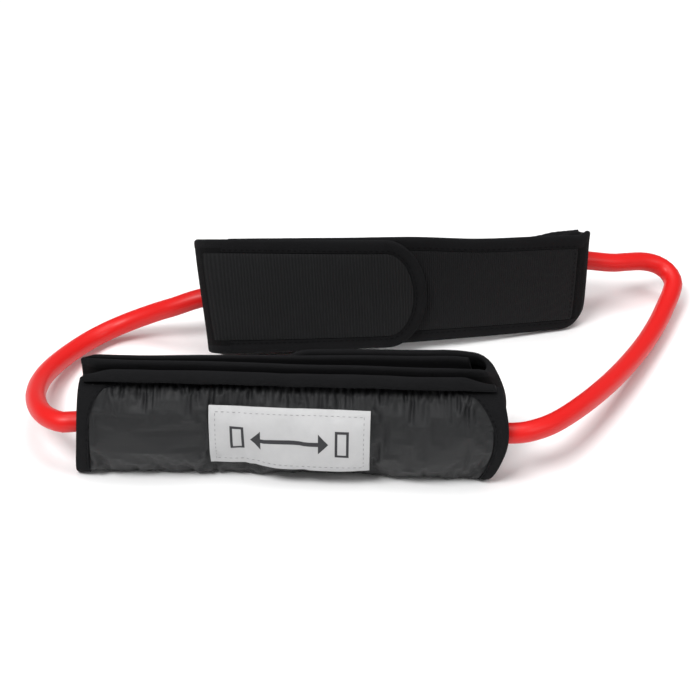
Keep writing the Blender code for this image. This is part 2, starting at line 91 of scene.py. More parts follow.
# %% [markdown]
# ## Camera
# The camera looks down at the band from the front, 36 degrees above the horizon. A long
# lens from almost a metre away keeps the two cuffs nearly the same size.

# %% Camera
VIEW_HEIGHT = math.radians(36)
VIEW_DISTANCE = 0.880
frame_middle = (cad_box[0] + cad_box[1]) / 2
aim = Vector((frame_middle.x - 0.0104, frame_middle.y - 0.0064, 0.025))
toward = Vector((0, -math.cos(VIEW_HEIGHT), math.sin(VIEW_HEIGHT)))
lens = bpy.data.cameras.new("camera")
lens.lens = 86.38
lens.sensor_width = 36
camera = bpy.data.objects.new("camera", lens)
camera.location = aim + toward * VIEW_DISTANCE
camera.rotation_euler = (math.pi / 2 - VIEW_HEIGHT, 0, 0)
bpy.context.scene.collection.objects.link(camera)
bpy.context.scene.camera = camera
print("camera at", [round(value, 3) for value in camera.location])

# %% [markdown]
# ## Sizes of a cuff
# These are the cuff's own measures, in metres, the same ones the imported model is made
# from. A cuff is described upright: x runs along it, y from the sleeve side to the tab
# side, and z up. Everything else is computed from them.

# %% Sizes
CUFF_LENGTH = 0.212
CUFF_HEIGHT = 0.061
HOLLOW_DEPTH = 0.012
STRAP_THICK = 0.0024
PATCH_THICK = 0.0008
BINDING_THICK = 0.0007
BINDING_LEG = 0.0070
GAP = 0.00035
BACK_PADDING = 0.0040
TUBE_ROOM = 1.25
FRONT_PADDING = 0.00125
ROLL_BELOW_EDGE = 0.0030
SLEEVE_SHELL = 0.0012
SLEEVE_ROLL = 0.0078
LABEL_WIDTH = 0.078
LABEL_LOW = 0.0112
LABEL_TALL = 0.0330
TUBE_DIAMETER = 0.0104
TUBE_BORE = 0.0058
TUBE_HEIGHT = 0.0285
TAB_REACH = -0.013
TAB_ROUND = 0.022
PEEL_LINE = 0.046

STRAP_SOFT = 0.0018  # the padding, pressed thin where it is sewn
SLEEVE_DEPTH = BACK_PADDING + TUBE_ROOM * TUBE_DIAMETER + FRONT_PADDING
SLEEVE_HEIGHT = CUFF_HEIGHT - SLEEVE_ROLL - ROLL_BELOW_EDGE
TUBE_OUT = BACK_PADDING + TUBE_DIAMETER / 2
EDGE = BINDING_THICK + GAP
FOLD_RADIUS = STRAP_THICK / 2 + EDGE
INNER_Y = HOLLOW_DEPTH / 2 + STRAP_THICK / 2
TAB_Y = INNER_Y + STRAP_THICK + 2 * PATCH_THICK + 3 * GAP
LABEL_FACE_Y = -(HOLLOW_DEPTH / 2 + STRAP_THICK)
SLEEVE_BACK = EDGE + GAP
LEFT_FOLD_X = -CUFF_LENGTH / 2 + INNER_Y + FOLD_RADIUS
RIGHT_FOLD_RADIUS = (TAB_Y + INNER_Y) / 2
RIGHT_FOLD_Y = (TAB_Y - INNER_Y) / 2
RIGHT_FOLD_X = CUFF_LENGTH / 2 - RIGHT_FOLD_RADIUS - FOLD_RADIUS
LOOP_END_X = RIGHT_FOLD_X - 0.004
SLEEVE_HALF = CUFF_LENGTH / 2 - BINDING_THICK - SLEEVE_SHELL / 2 - GAP
TUBE_Y = LABEL_FACE_Y - TUBE_OUT
PATCH_LOW = BINDING_LEG + GAP
print("tab layer at", round(TAB_Y * 1000, 2), "mm, loop layer at", round(INNER_Y * 1000, 2), "mm")

# %% [markdown]
# ## Where each cuff stands
# The front cuff leans back a little on a flat base. The rear cuff is turned round, so
# that its tab faces us, and it leans more at one end than at the other, as soft things
# do. `put` carries a point of the upright cuff to its real place. Soft strap also sags
# and ripples a little, so `put` first moves each point by a slow wave that every piece
# of the cuff shares: the pieces stay together, but no edge is perfectly straight.


# %% Stance of a cuff
def ease(value):
    """0 below 0, 1 above 1, and smooth in between."""
    value = min(max(value, 0.0), 1.0)
    return value * value * (3 - 2 * value)


class Stance:
    """Carries a point of an upright cuff to where that point stands."""

    def __init__(self, joint, yaw, lean, axis_heights, turned, slack, seed):
        middle = Vector(joint["pos_m"] if "pos_m" in joint else joint["pos"])
        self.centre = Vector((middle.x, middle.y, 0))
        self.yaw = Matrix.Rotation(math.radians(yaw), 3, "Z")
        self.lean = [math.radians(angle) for angle in lean]
        self.axis_heights = axis_heights
        self.side = -1 if turned else 1
        self.slack = slack
        self.seed = Vector((seed, 0, 0))

    def between(self, ends, x):
        share = (self.side * x + CUFF_LENGTH / 2) / CUFF_LENGTH
        return ends[0] + (ends[1] - ends[0]) * share

    def settle(self, x, y, z):
        """The slow sag and ripple of the cloth, for one point of the upright cuff."""
        top = z / CUFF_HEIGHT
        drop, close, pull, swing = self.slack(x, y, top)
        hollow = min(max(y + HOLLOW_DEPTH / 2, 0.0), HOLLOW_DEPTH)
        y -= hollow * close + swing
        x -= pull
        z -= drop
        wave = noise.noise_vector(Vector((x * 22, y * 9, z * 16)) + self.seed)
        free = ease(top * 1.6) * 0.0011 * ease((y - LABEL_FACE_Y + 0.016) / 0.016)
        return x + wave.x * free * 0.4, y + wave.y * free, z + wave.z * free * 0.8

    def put(self, x, y, z):
        x, y, z = self.settle(x, y, z)
        lean = self.between(self.lean, x)
        away = self.side * (y - TUBE_Y)
        above = z - TUBE_HEIGHT
        if self.axis_heights is None:
            back = away + above * math.sin(lean)
            height = z * math.cos(lean)
        else:
            back = away * math.cos(lean) + above * math.sin(lean)
            axis = self.between(self.axis_heights, x)
            height = axis - away * math.sin(lean) + above * math.cos(lean)
        return self.centre + self.yaw @ Vector((self.side * x, back, height))

    def take(self, spot):
        """The opposite of put, without the settling: the upright cuff's point for a real place."""
        flat = self.yaw.transposed() @ (spot - self.centre)
        x = self.side * flat.x
        lean = self.between(self.lean, x)
        if self.axis_heights is None:
            z = flat.z / math.cos(lean)
            away = flat.y - (z - TUBE_HEIGHT) * math.sin(lean)
        else:
            risen = flat.z - self.between(self.axis_heights, x)
            away = flat.y * math.cos(lean) - risen * math.sin(lean)
            z = TUBE_HEIGHT + flat.y * math.sin(lean) + risen * math.cos(lean)
        return Vector((x, TUBE_Y + self.side * away, z))


# %% Slack of the two cuffs
def front_slack(x, y, top):
    """The front cuff is pressed shut at its left, and its right end is round."""
    to_right = ease(x / CUFF_LENGTH + 0.5)
    near_end = ease((x - CUFF_LENGTH / 2 + 0.034) / 0.034)
    left_end = ease((-x - CUFF_LENGTH / 2 + 0.020) / 0.020)
    label_wall = ease((-0.002 - y) / 0.007)
    raised = 0.0027 * label_wall + 0.0016 * (1 - label_wall) * (1 - to_right)
    drop = (0.0025 * near_end * (1 - label_wall) - raised) * ease(top)
    upper = max(0.0, 2 * top - 1) ** 2
    lower = max(0.0, 1 - 2.2 * top) ** 1.5
    pull = near_end * (0.0085 * upper + 0.0080 * lower)
    pull += left_end * (0.0015 * lower - 0.0036 * ease(top))
    swing = 0.0028 * ease((-x - 0.020) / 0.080) * max(0.0, 1 - 1.5 * top)
    return drop, 0.84 - 0.70 * to_right, pull, swing


def rear_slack(x, y, top):
    """The rear cuff's sleeve wall has sunk behind its tab wall, and one end stands higher."""
    behind = ease((0.003 - y) / 0.008)
    free_end = ease((-x - 0.035) / 0.070)
    sunk = 0.0030 + 0.0085 * ease((0.060 - x) / 0.120)
    off_fold = 0.5 + 0.5 * ease((x + CUFF_LENGTH / 2) / 0.028)
    drop = behind * sunk * off_fold * ease(2 * top - 1) - 0.0034 * free_end * ease(top)
    near_end = ease((-x - CUFF_LENGTH / 2 + 0.022) / 0.022)
    far_end = ease((x - CUFF_LENGTH / 2 + 0.022) / 0.022)
    lower = 1 - math.sqrt(max(0.0, 1 - max(0.0, 1 - 4.5 * top) ** 2))
    pull = -near_end * (0.0095 * lower + 0.0026 * ease(top)) - far_end * 0.0026 * ease(top)
    pull += 0.0055 * ease((-0.006 - y) / 0.006) * ease((x - 0.070) / 0.030)
    return drop, 0.15, pull, 0.0


# %% The two stances
stances = {
    "front": Stance(joints["front_cuff_roll"], -2.5, (-8.5, -8.5), None, False, front_slack, 3.0),
    "rear": Stance(
        joints["rear_cuff_roll"], 9.0, (31.0, -7.0), (0.0286, 0.0315), True, rear_slack, 9.0
    ),
}
print("front cuff's middle", [round(value, 4) for value in stances["front"].centre])

# %% [markdown]
# ## Cloth from a grid
# Most of the band is flat cloth: straps, tapes, bindings. A grid extruded once makes a
# closed slab of cloth, and each of its corners is then carried to its place. The grid
# also keeps a map of the flat cloth, in metres, so that a weave follows the cloth round
# every fold at its true size.


# %% Slabs of cloth
def spread(start, end, step):
    """Even stations from start to end, no further apart than step."""
    count = max(1, math.ceil(abs(end - start) / step - 1e-9))
    return [start + (end - start) * index / count for index in range(count + 1)]


def finish_mesh(bm, name, smooth=True):
    """The object of a bmesh, with its faces pointing outwards."""
    if bm.calc_volume(signed=True) < 0:
        bmesh.ops.reverse_faces(bm, faces=bm.faces)
    for face in bm.faces:
        face.smooth = smooth
    mesh = bpy.data.meshes.new(name)
    bm.to_mesh(mesh)
    bm.free()
    obj = bpy.data.objects.new(name, mesh)
    bpy.context.scene.collection.objects.link(obj)
    return obj


def flat_grid(along, across, place, measure, thick):
    """A grid of cloth with its map; thick asks for a second face behind it."""
    bm = bmesh.new()
    bmesh.ops.create_grid(bm, x_segments=len(along) - 1, y_segments=len(across) - 1, size=0.5)
    if thick:
        raised = bmesh.ops.extrude_face_region(bm, geom=bm.faces[:])
        for vert in raised["geom"]:
            if isinstance(vert, bmesh.types.BMVert):
                vert.co.z = 1.0
    cloth = bm.loops.layers.uv.new("cloth")
    for vert in bm.verts:
        u = along[round((vert.co.x + 0.5) * (len(along) - 1))]
        v = across[round((vert.co.y + 0.5) * (len(across) - 1))]
        spot = place(u, v, round(vert.co.z))
        for loop in vert.link_loops:
            loop[cloth].uv = measure(u, v)
        vert.co = spot
    return bm


def slab(name, along, across, place, measure=lambda u, v: (u, v), soften=0.0003):
    """A closed slab of cloth, its edges rounded a little."""
    bm = flat_grid(along, across, place, measure, True)
    bmesh.ops.recalc_face_normals(bm, faces=bm.faces)
    obj = finish_mesh(bm, name)
    edge = obj.modifiers.new("soft edge", "BEVEL")
    edge.width = soften
    edge.segments = 2
    edge.limit_method = "ANGLE"
    edge.angle_limit = math.radians(50)
    return obj


# %% [markdown]
# ## Stitches
# Every seam is closed with a row of thread. Each stitch that shows is a small rounded
# bead lying along the seam, about 2 mm long with a short gap after it. A row is a list
# of places with the cloth's direction outwards, and one mesh holds several rows.


# %% Rows of stitches
STITCH_PITCH = 0.0031
STITCH_LONG = 0.0019
THREAD_WIDE = 0.00040


def stitch_places(line, pitch=STITCH_PITCH):
    """(place, direction, outward) for each stitch along a line of (place, outward)."""
    found = []
    travelled = 0.0
    due = pitch / 2
    for (start, out_a), (end, out_b) in zip(line, line[1:]):
        run = (end - start).length
        while run > 0 and due <= travelled + run:
            share = (due - travelled) / run
            spot = start.lerp(end, share)
            found.append((spot, (end - start).normalized(), out_a.lerp(out_b, share).normalized()))
            due += pitch
        travelled += run
    return found


def sew(name, lines, pitch=STITCH_PITCH, long=STITCH_LONG, wide=THREAD_WIDE):
    """One mesh of beads along all the lines."""
    bm = bmesh.new()
    for line in lines:
        for spot, forward, outward in stitch_places(line, pitch):
            side = outward.cross(forward).normalized()
            up = forward.cross(side)
            turn = Matrix((forward, side, up)).transposed().to_4x4()
            size = Matrix.Diagonal((long / 2, wide / 2, wide / 2.4, 1))
            bmesh.ops.create_uvsphere(
                bm,
                u_segments=6,
                v_segments=4,
                radius=1,
                matrix=Matrix.Translation(spot) @ turn @ size,
            )
    return finish_mesh(bm, name)


# %% [markdown]
# ## Materials
# Each finish is worked out by its shader from the cloth's own map, or from the place on
# the object. `Wire` holds one output of a node, so that sums of wires can be written as
# ordinary arithmetic.


# %% Shader arithmetic
class Wire:
    """One output of a shader node. Arithmetic on wires adds the Math nodes."""

    def __init__(self, socket):
        self.socket = socket

    def node(self, kind, settings=None, output=0, **values):
        """Adds a node beside this one. A value is named after its input, or _0, _1 by number."""
        made = self.socket.id_data.nodes.new(kind)
        for key, value in (settings or {}).items():
            setattr(made, key, value)
        for key, value in values.items():
            number = key[1:].isdigit()
            slot = made.inputs[int(key[1:])] if number else made.inputs[key.replace("_", " ")]
            if isinstance(value, Wire):
                self.socket.id_data.links.new(value.socket, slot)
            else:
                slot.default_value = value
        return Wire(made.outputs[output])

    def math(self, operation, *others, clamp=False):
        values = {f"_{index + 1}": other for index, other in enumerate(others)}
        settings = {"operation": operation, "use_clamp": clamp}
        return self.node("ShaderNodeMath", settings, _0=self, **values)

    def __add__(self, other):
        return self.math("ADD", other)

    __radd__ = __add__

    def __mul__(self, other):
        return self.math("MULTIPLY", other)

    __rmul__ = __mul__

    def __sub__(self, other):
        return self.math("SUBTRACT", other)

    def __rsub__(self, other):
        return (self * -1.0) + other

    def __truediv__(self, other):
        return self.math("DIVIDE", other)

    def __rtruediv__(self, other):
        return self.math("POWER", -1.0) * other

    def __pow__(self, other):
        return self.math("POWER", other)

    def __abs__(self):
        return self.math("ABSOLUTE")


def parts_of(wire):
    """The x, y and z of a vector wire."""
    split = wire.node("ShaderNodeSeparateXYZ", _0=wire)
    return [Wire(output) for output in split.socket.node.outputs]


def wave(wire, length):
    """A ripple from 0 to 1 that repeats every length."""
    return (wire * (math.tau / length)).math("SINE") * 0.5 + 0.5


def step(wire, edge, soft):
    """0 below the edge and 1 above it, over a soft width."""
    return ((wire - edge) / soft + 0.5).math("ADD", 0.0, clamp=True)


def cloudy(place, scale, detail=2.0, rough=0.5):
    """Soft noise about 1/scale of a metre across."""
    return place.node(
        "ShaderNodeTexNoise", Vector=place, Scale=scale, Detail=detail, Roughness=rough
    )


def mixed(share, first, second):
    """A colour between two colours."""
    settings = {"data_type": "RGBA"}
    first = (*first, 1.0) if isinstance(first, tuple) else first
    second = (*second, 1.0) if isinstance(second, tuple) else second
    return share.node("ShaderNodeMix", settings, output=2, _0=share, _6=first, _7=second)


def stretched(place, sizes):
    """The same place with each direction scaled."""
    settings = {"operation": "MULTIPLY"}
    return place.node("ShaderNodeVectorMath", settings, _0=place, _1=sizes)


# %% Starting and closing a finish
def new_finish(name, on_cloth=True, **fixed):
    """A material, its shader and the wire that its pattern is measured on."""
    made = bpy.data.materials.new(name)
    made.use_nodes = True
    shader = made.node_tree.nodes["Principled BSDF"]
    for key, value in fixed.items():
        shader.inputs[key.replace("_", " ")].default_value = value
    if on_cloth:
        source = made.node_tree.nodes.new("ShaderNodeUVMap")
        source.uv_map = "cloth"
        return made, shader, Wire(source.outputs["UV"])
    source = made.node_tree.nodes.new("ShaderNodeTexCoord")
    return made, shader, Wire(source.outputs["Object"])


def close_finish(made, shader, colour, roughness, height, depth, strength=1.0):
    """Joins a colour, a roughness and a relief of that depth to the shader."""
    links = made.node_tree.links
    links.new(colour.socket, shader.inputs["Base Color"])
    links.new(roughness.socket, shader.inputs["Roughness"])
    bump = height.node("ShaderNodeBump", Strength=strength, Distance=depth, Height=height)
    links.new(bump.socket, shader.inputs["Normal"])
    return made


# %% [markdown]
# ### Knit
# The strap, the bindings and the roll along the sleeve are a soft black knit. Its loops
# make rows of small V shapes about a millimetre apart, it drinks light, and a short
# nap on it glows a little at grazing angles, which is what the sheen is for.


# %% Knit finish
def knit_finish(name, dark, light, loop=0.0010, nap=0.03):
    made, shader, place = new_finish(name, Sheen_Weight=nap, Sheen_Roughness=0.5)
    shader.inputs["Sheen Tint"].default_value = (0.42, 0.43, 0.46, 1.0)
    shader.inputs["Specular IOR Level"].default_value = 0.09
    across, along, _ = parts_of(place)
    lean = abs((across / loop).math("FRACT") - 0.5)
    loops = wave(along + lean * loop * 1.4, loop * 0.8) * (1.0 - lean)
    patchy = cloudy(place, 55.0, 3.0)
    nap_noise = cloudy(place, 1500.0, 2.0)
    lint = step(cloudy(stretched(place, (1.0, 2.4, 1.0)), 420.0, 1.0), 0.77, 0.05)
    share = (loops * 0.35 + patchy * 0.5 + nap_noise * 0.25).math("ADD", 0.0, clamp=True)
    colour = mixed(lint * 0.35, mixed(share, dark, light), (0.04, 0.04, 0.042))
    roughness = 0.82 + nap_noise * 0.15
    return close_finish(made, shader, colour, roughness, loops * 0.7 + nap_noise * 0.6, 0.00035)


knit = knit_finish("black knit", (0.0020, 0.0020, 0.0022), (0.0066, 0.0066, 0.0070))
binding_knit = knit_finish("binding knit", (0.0044, 0.0044, 0.0048), (0.0120, 0.0120, 0.0130), 0.0008)

# %% [markdown]
# ### Nylon, loop tape and hooks
# The sleeve is a close plain weave of dark nylon with a low shine, so its creases catch
# light. The tab is faced with loop tape: fine ribs, fuzzy with loose loops, along which
# the tape's ground shows as darker lines.


# %% Nylon finish
def nylon_finish():
    made, shader, place = new_finish("black nylon", Coat_Weight=0.04, Coat_Roughness=0.30)
    shader.inputs["Specular IOR Level"].default_value = 0.30
    across, along, _ = parts_of(place)
    warp = wave(across, 0.00052)
    weft = wave(along, 0.00052)
    weave = abs(warp - weft)
    patchy = cloudy(place, 35.0, 3.0)
    slubs = cloudy(stretched(place, (0.12, 1.0, 1.0)), 900.0, 2.0)
    share = (weave * 0.45 + patchy * 0.15 + slubs * 0.25).math("ADD", 0.0, clamp=True)
    colour = mixed(share, (0.0060, 0.0063, 0.0070), (0.0125, 0.0130, 0.0142))
    roughness = 0.42 + patchy * 0.06 + weave * 0.08
    return close_finish(made, shader, colour, roughness, weave * 0.6 + slubs * 0.4, 0.00012)


nylon = nylon_finish()


# %% Loop tape and hook tape finishes
def loop_finish(name, rib, dark, light):
    made, shader, place = new_finish(name, Sheen_Weight=0.04, Sheen_Roughness=0.5)
    shader.inputs["Sheen Tint"].default_value = (0.45, 0.46, 0.48, 1.0)
    shader.inputs["Specular IOR Level"].default_value = 0.2
    across, along, _ = parts_of(place)
    sway = cloudy(stretched(place, (1.0, 0.3, 1.0)), 260.0, 2.0)
    ribs = wave(across + sway * rib * 0.8, rib)
    tufts = cloudy(stretched(place, (1.0, 0.45, 1.0)), 1300.0, 3.0, 0.6)
    worn = cloudy(place, 70.0, 3.0)
    share = (ribs * 0.45 + tufts * 0.4 + worn * 0.3 - 0.1).math("ADD", 0.0, clamp=True)
    colour = mixed(share, dark, light)
    return close_finish(made, shader, colour, 0.75 + tufts * 0.2, ribs * 0.6 + tufts * 0.8, 0.0004)


tab_tape = loop_finish("tab loop tape", 0.0016, (0.0020, 0.0021, 0.0023), (0.0115, 0.0118, 0.0126))
loop_tape = loop_finish("loop tape", 0.0011, (0.0018, 0.0018, 0.0021), (0.0085, 0.0087, 0.0096))


def hook_finish():
    made, shader, place = new_finish("hook tape", on_cloth=False)
    grain = cloudy(place, 900.0, 2.0)
    colour = mixed(grain, (0.012, 0.012, 0.013), (0.032, 0.032, 0.034))
    return close_finish(made, shader, colour, 0.35 + grain * 0.25, grain, 0.0001)


hook_plastic = hook_finish()


# %% [markdown]
# ### Rubber
# The tube is natural rubber dipped in red: glossy when it is new, with a trace of powder
# left on it, and faint lines along it from the dipping. Light goes a little way in.


# %% Rubber finish
def rubber_finish():
    made, shader, place = new_finish("red rubber", Coat_Weight=0.05, Coat_Roughness=0.22)
    shader.inputs["Specular IOR Level"].default_value = 0.30
    shader.inputs["Subsurface Weight"].default_value = 0.08
    shader.inputs["Subsurface Radius"].default_value = (0.004, 0.0012, 0.001)
    shader.inputs["Subsurface Scale"].default_value = 0.6
    lines = cloudy(stretched(place, (0.04, 1.0, 1.0)), 1600.0, 2.0)
    patchy = cloudy(place, 60.0, 3.0)
    powder = step(cloudy(place, 1900.0, 3.0, 0.65), 0.62, 0.12) * patchy
    base = mixed(patchy, (0.60, 0.0060, 0.0060), (0.72, 0.011, 0.009))
    colour = mixed(powder * 0.18, base, (0.70, 0.20, 0.17))
    roughness = 0.36 + patchy * 0.14 + powder * 0.12
    return close_finish(made, shader, colour, roughness, lines * 0.5 + powder * 0.5, 0.00006)


red_rubber = rubber_finish()

# %% [markdown]
# ### Label, thread, foam and plug
# The label is a woven white tape. Its printing is only a plain pictogram of the band: two
# cuffs with a stretch arrow between them, drawn by the shader on the label's own map.


# %% Label finish
def label_finish():
    made, shader, place = new_finish("woven label", Specular_IOR_Level=0.2)
    across, along, _ = parts_of(place)
    weave = abs(wave(across, 0.0007) - wave(along, 0.0007))
    soft = 0.00018
    side = abs(across)
    up = abs(along)
    shaft = (1.0 - step(side, 0.0140, soft)) * (1.0 - step(up, 0.0011, soft))
    slope = 1.0 - step(side + up * 0.95, 0.0190, soft)
    head = slope * step(side, 0.0140, soft) * (1.0 - step(up, 0.0052, soft))
    outer = (1.0 - step(abs(side - 0.0255), 0.0034, soft)) * (1.0 - step(up, 0.0068, soft))
    inner = (1.0 - step(abs(side - 0.0255), 0.0021, soft)) * (1.0 - step(up, 0.0055, soft))
    ink = (shaft + head + outer - inner).math("ADD", 0.0, clamp=True)
    soil = cloudy(place, 120.0, 4.0, 0.6)
    paper = mixed(soil * 0.6 + weave * 0.25, (0.60, 0.60, 0.60), (0.44, 0.44, 0.45))
    colour = mixed(ink * (0.93 + weave * 0.06), paper, (0.018, 0.018, 0.022))
    return close_finish(made, shader, colour, 0.62 + weave * 0.12, weave + soil * 0.5, 0.00012)


woven_label = label_finish()


# %% Thread, foam, plug
def grained(name, dark, light, rough, scale, depth, **fixed):
    """A plain finish with a fine grain, measured on the object."""
    made, shader, place = new_finish(name, on_cloth=False, **fixed)
    grain = cloudy(place, scale, 3.0, 0.6)
    worn = cloudy(place, scale / 14, 2.0)
    share = (grain * 0.6 + worn * 0.5 - 0.05).math("ADD", 0.0, clamp=True)
    return close_finish(made, shader, mixed(share, dark, light), rough + grain * 0.2, grain, depth)


dark_thread = grained("dark thread", (0.0015, 0.0015, 0.0017), (0.005, 0.005, 0.0055), 0.7, 2600.0, 1e-4, Specular_IOR_Level=0.05)
grey_thread = grained("grey thread", (0.20, 0.20, 0.21), (0.34, 0.34, 0.35), 0.6, 2600.0, 1e-4)
plug_nylon = grained("moulded nylon", (0.52, 0.51, 0.48), (0.64, 0.63, 0.60), 0.35, 700.0, 5e-5)


def foam_finish():
    made, shader, place = new_finish("open foam", on_cloth=False)
    cells = place.node("ShaderNodeTexVoronoi", Vector=place, Scale=1100.0)
    worn = cloudy(place, 90.0, 2.0)
    share = (cells * 0.9 + worn * 0.3).math("ADD", 0.0, clamp=True)
    colour = mixed(share, (0.035, 0.035, 0.037), (0.105, 0.105, 0.110))
    return close_finish(made, shader, colour, 0.9 + worn * 0.08, cells, 0.0005)


open_foam = foam_finish()


def finish_with(obj, material):
    """Gives a piece its material."""
    obj.data.materials.clear()
    obj.data.materials.append(material)
    return obj


for node_name, cad_node in frame["nodes"].items():
    if node_name.endswith("_foam"):
        cad_node.data.materials.clear()
        cad_node.data.materials.append(open_foam)
    if node_name == "tube_joiner":
        cad_node.data.materials.clear()
        cad_node.data.materials.append(plug_nylon)

# %% [markdown]
# ## The tube
# One length of tube makes the loop. It starts and ends in the middle of the front sleeve,
# where a barbed plug joins its two ends, and passes through the rear sleeve on its way.
# The route runs straight out of each sleeve, down to the ground, and round to the other
# cuff. It is one smooth curve through a few chosen points.

# %% The route
LEFT_ARC = [
    (-0.1390, -0.0679, 0.0283),
    (-0.1445, -0.0650, 0.0276),
    (-0.1500, -0.0594, 0.0262),
    (-0.1550, -0.0498, 0.0238),
    (-0.1585, -0.0372, 0.0208),
    (-0.1595, -0.0232, 0.0174),
    (-0.1581, -0.0098, 0.0144),
    (-0.1545, 0.0035, 0.0116),
    (-0.1485, 0.0175, 0.0091),
    (-0.1406, 0.0298, 0.0078),
    (-0.1319, 0.0376, 0.0084),
    (-0.1228, 0.0411, 0.0109),
    (-0.1132, 0.0419, 0.0147),
    (-0.1037, 0.0412, 0.0190),
    (-0.0944, 0.0395, 0.0234),
]
RIGHT_ARC = [
    (0.0859, -0.0757, 0.0282),
    (0.0928, -0.0727, 0.0277),
    (0.0993, -0.0682, 0.0268),
    (0.1065, -0.0610, 0.0252),
    (0.1160, -0.0493, 0.0227),
    (0.1274, -0.0335, 0.0194),
    (0.1392, -0.0156, 0.0162),
    (0.1505, 0.0033, 0.0134),
    (0.1612, 0.0228, 0.0114),
    (0.1704, 0.0414, 0.0107),
    (0.1774, 0.0576, 0.0111),
    (0.1826, 0.0700, 0.0128),
    (0.1843, 0.0775, 0.0146),
    (0.1818, 0.0842, 0.0170),
    (0.1756, 0.0874, 0.0198),
    (0.1672, 0.0862, 0.0225),
    (0.1577, 0.0818, 0.0250),
    (0.1480, 0.0776, 0.0272),
]


# %% One smooth curve
def smooth_through(points, step_long):
    """Points about a step apart along a smooth curve that passes through all the given points."""
    ends = [2 * points[0] - points[1], *points, 2 * points[-1] - points[-2]]
    fine = [points[0]]
    for a, b, c, d in zip(ends, ends[1:], ends[2:], ends[3:]):
        for part in range(1, 13):
            t = part / 12
            bend = (2 * a - 5 * b + 4 * c - d) * t**2 + (3 * b - a - 3 * c + d) * t**3
            fine.append(0.5 * (2 * b + (c - a) * t + bend))
    travelled = [0.0]
    for first, second in zip(fine, fine[1:]):
        travelled.append(travelled[-1] + (second - first).length)
    count = round(travelled[-1] / step_long)
    evenly = []
    at = 0
    for index in range(count + 1):
        want = travelled[-1] * index / count
        while at < len(fine) - 2 and travelled[at + 1] < want:
            at += 1
        share = (want - travelled[at]) / (travelled[at + 1] - travelled[at])
        evenly.append(fine[at].lerp(fine[at + 1], min(share, 1.0)))
    return evenly


def on_axis(stance, x):
    """A point on the middle line of a cuff's tube."""
    straight = Stance.put
    calm = stance.settle
    stance.settle = lambda x, y, z: (x, y, z)
    spot = straight(stance, x, TUBE_Y, TUBE_HEIGHT)
    stance.settle = calm
    return spot


reach = CUFF_LENGTH / 2
front, rear = stances["front"], stances["rear"]
route = [on_axis(front, x) for x in spread(-GAP / 2, -reach, 0.016)]
route += [Vector(place) for place in LEFT_ARC]
route += [on_axis(rear, x) for x in spread(reach, -reach, 0.016)]
route += [Vector(place) for place in reversed(RIGHT_ARC)]
route += [on_axis(front, x) for x in spread(reach, GAP / 2, 0.016)]
centre_line = smooth_through(route, 0.0035)
tube_length = sum((b - a).length for a, b in zip(centre_line, centre_line[1:]))
print("tube length", round(tube_length, 3), "m,", len(centre_line), "sections")


# %% The tube's wall
def tube_along(name, line, radius, bore, around=20):
    """A hollow tube: a ring of points carried along the line without twisting, then given its wall."""
    bm = bmesh.new()
    ring = bmesh.ops.create_circle(bm, segments=around, radius=radius)["verts"]
    edges = list({edge for vert in ring for edge in vert.link_edges})
    shape = [vert.co.copy() for vert in ring]
    heading = Vector((0, 0, 1))
    turn = Matrix.Identity(3)
    for index, spot in enumerate(line):
        before = line[max(index - 1, 0)]
        after = line[min(index + 1, len(line) - 1)]
        forward = (after - before).normalized()
        turn = heading.rotation_difference(forward).to_matrix() @ turn
        heading = forward
        for vert, corner in zip(ring, shape):
            vert.co = spot + turn @ corner
        if index == len(line) - 1:
            break
        grown = bmesh.ops.extrude_edge_only(bm, edges=edges)["geom"]
        edges = [item for item in grown if isinstance(item, bmesh.types.BMEdge)]
        fresh = [item for item in grown if isinstance(item, bmesh.types.BMVert)]
        order = {round_key(vert.co): vert for vert in fresh}
        ring = [order[round_key(vert.co)] for vert in ring]
    bmesh.ops.recalc_face_normals(bm, faces=bm.faces)
    tube = finish_mesh(bm, name)
    wall = tube.modifiers.new("wall", "SOLIDIFY")
    wall.thickness = radius - bore
    wall.offset = -1
    return tube


def round_key(spot):
    return tuple(round(value, 7) for value in spot)


tube = tube_along("elastic_tube", centre_line, TUBE_DIAMETER / 2, TUBE_BORE / 2 + GAP)
finish_with(tube, red_rubber)
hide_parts("tube_front_left", "tube_front_right", "tube_rear")
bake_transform(tube)

# %% [markdown]
# ## The path of the strap
# The strap starts under the tab, runs along the loop side, round the first fold, back
# along the sleeve side, round the second fold, and ends as the tab. A distance along it
# is all that is needed to know where the cloth is and which way it faces.

# %% Along the ring
RUNS = {
    "loop": LOOP_END_X - LEFT_FOLD_X,
    "left_fold": math.pi * INNER_Y,
    "label": RIGHT_FOLD_X - LEFT_FOLD_X,
    "right_fold": math.pi * RIGHT_FOLD_RADIUS,
}
RING_LENGTH = sum(RUNS.values())


def ring_at(distance):
    """Middle of the strap and its outward direction, that far from the end under the tab."""
    if distance <= RUNS["loop"]:
        return Vector((LOOP_END_X - distance, INNER_Y, 0)), Vector((0, 1, 0))
    distance -= RUNS["loop"]
    if distance <= RUNS["left_fold"]:
        turn = distance / INNER_Y
        out = Vector((-math.sin(turn), math.cos(turn), 0))
        return Vector((LEFT_FOLD_X, 0, 0)) + out * INNER_Y, out
    distance -= RUNS["left_fold"]
    if distance <= RUNS["label"]:
        return Vector((LEFT_FOLD_X + distance, -INNER_Y, 0)), Vector((0, -1, 0))
    turn = (distance - RUNS["label"]) / RIGHT_FOLD_RADIUS
    out = Vector((math.sin(turn), -math.cos(turn), 0))
    return Vector((RIGHT_FOLD_X, RIGHT_FOLD_Y, 0)) + out * RIGHT_FOLD_RADIUS, out


def ring_point(stance, distance, off, up):
    middle, outward = ring_at(distance)
    spot = middle + outward * off
    return stance.put(spot.x, spot.y, up)


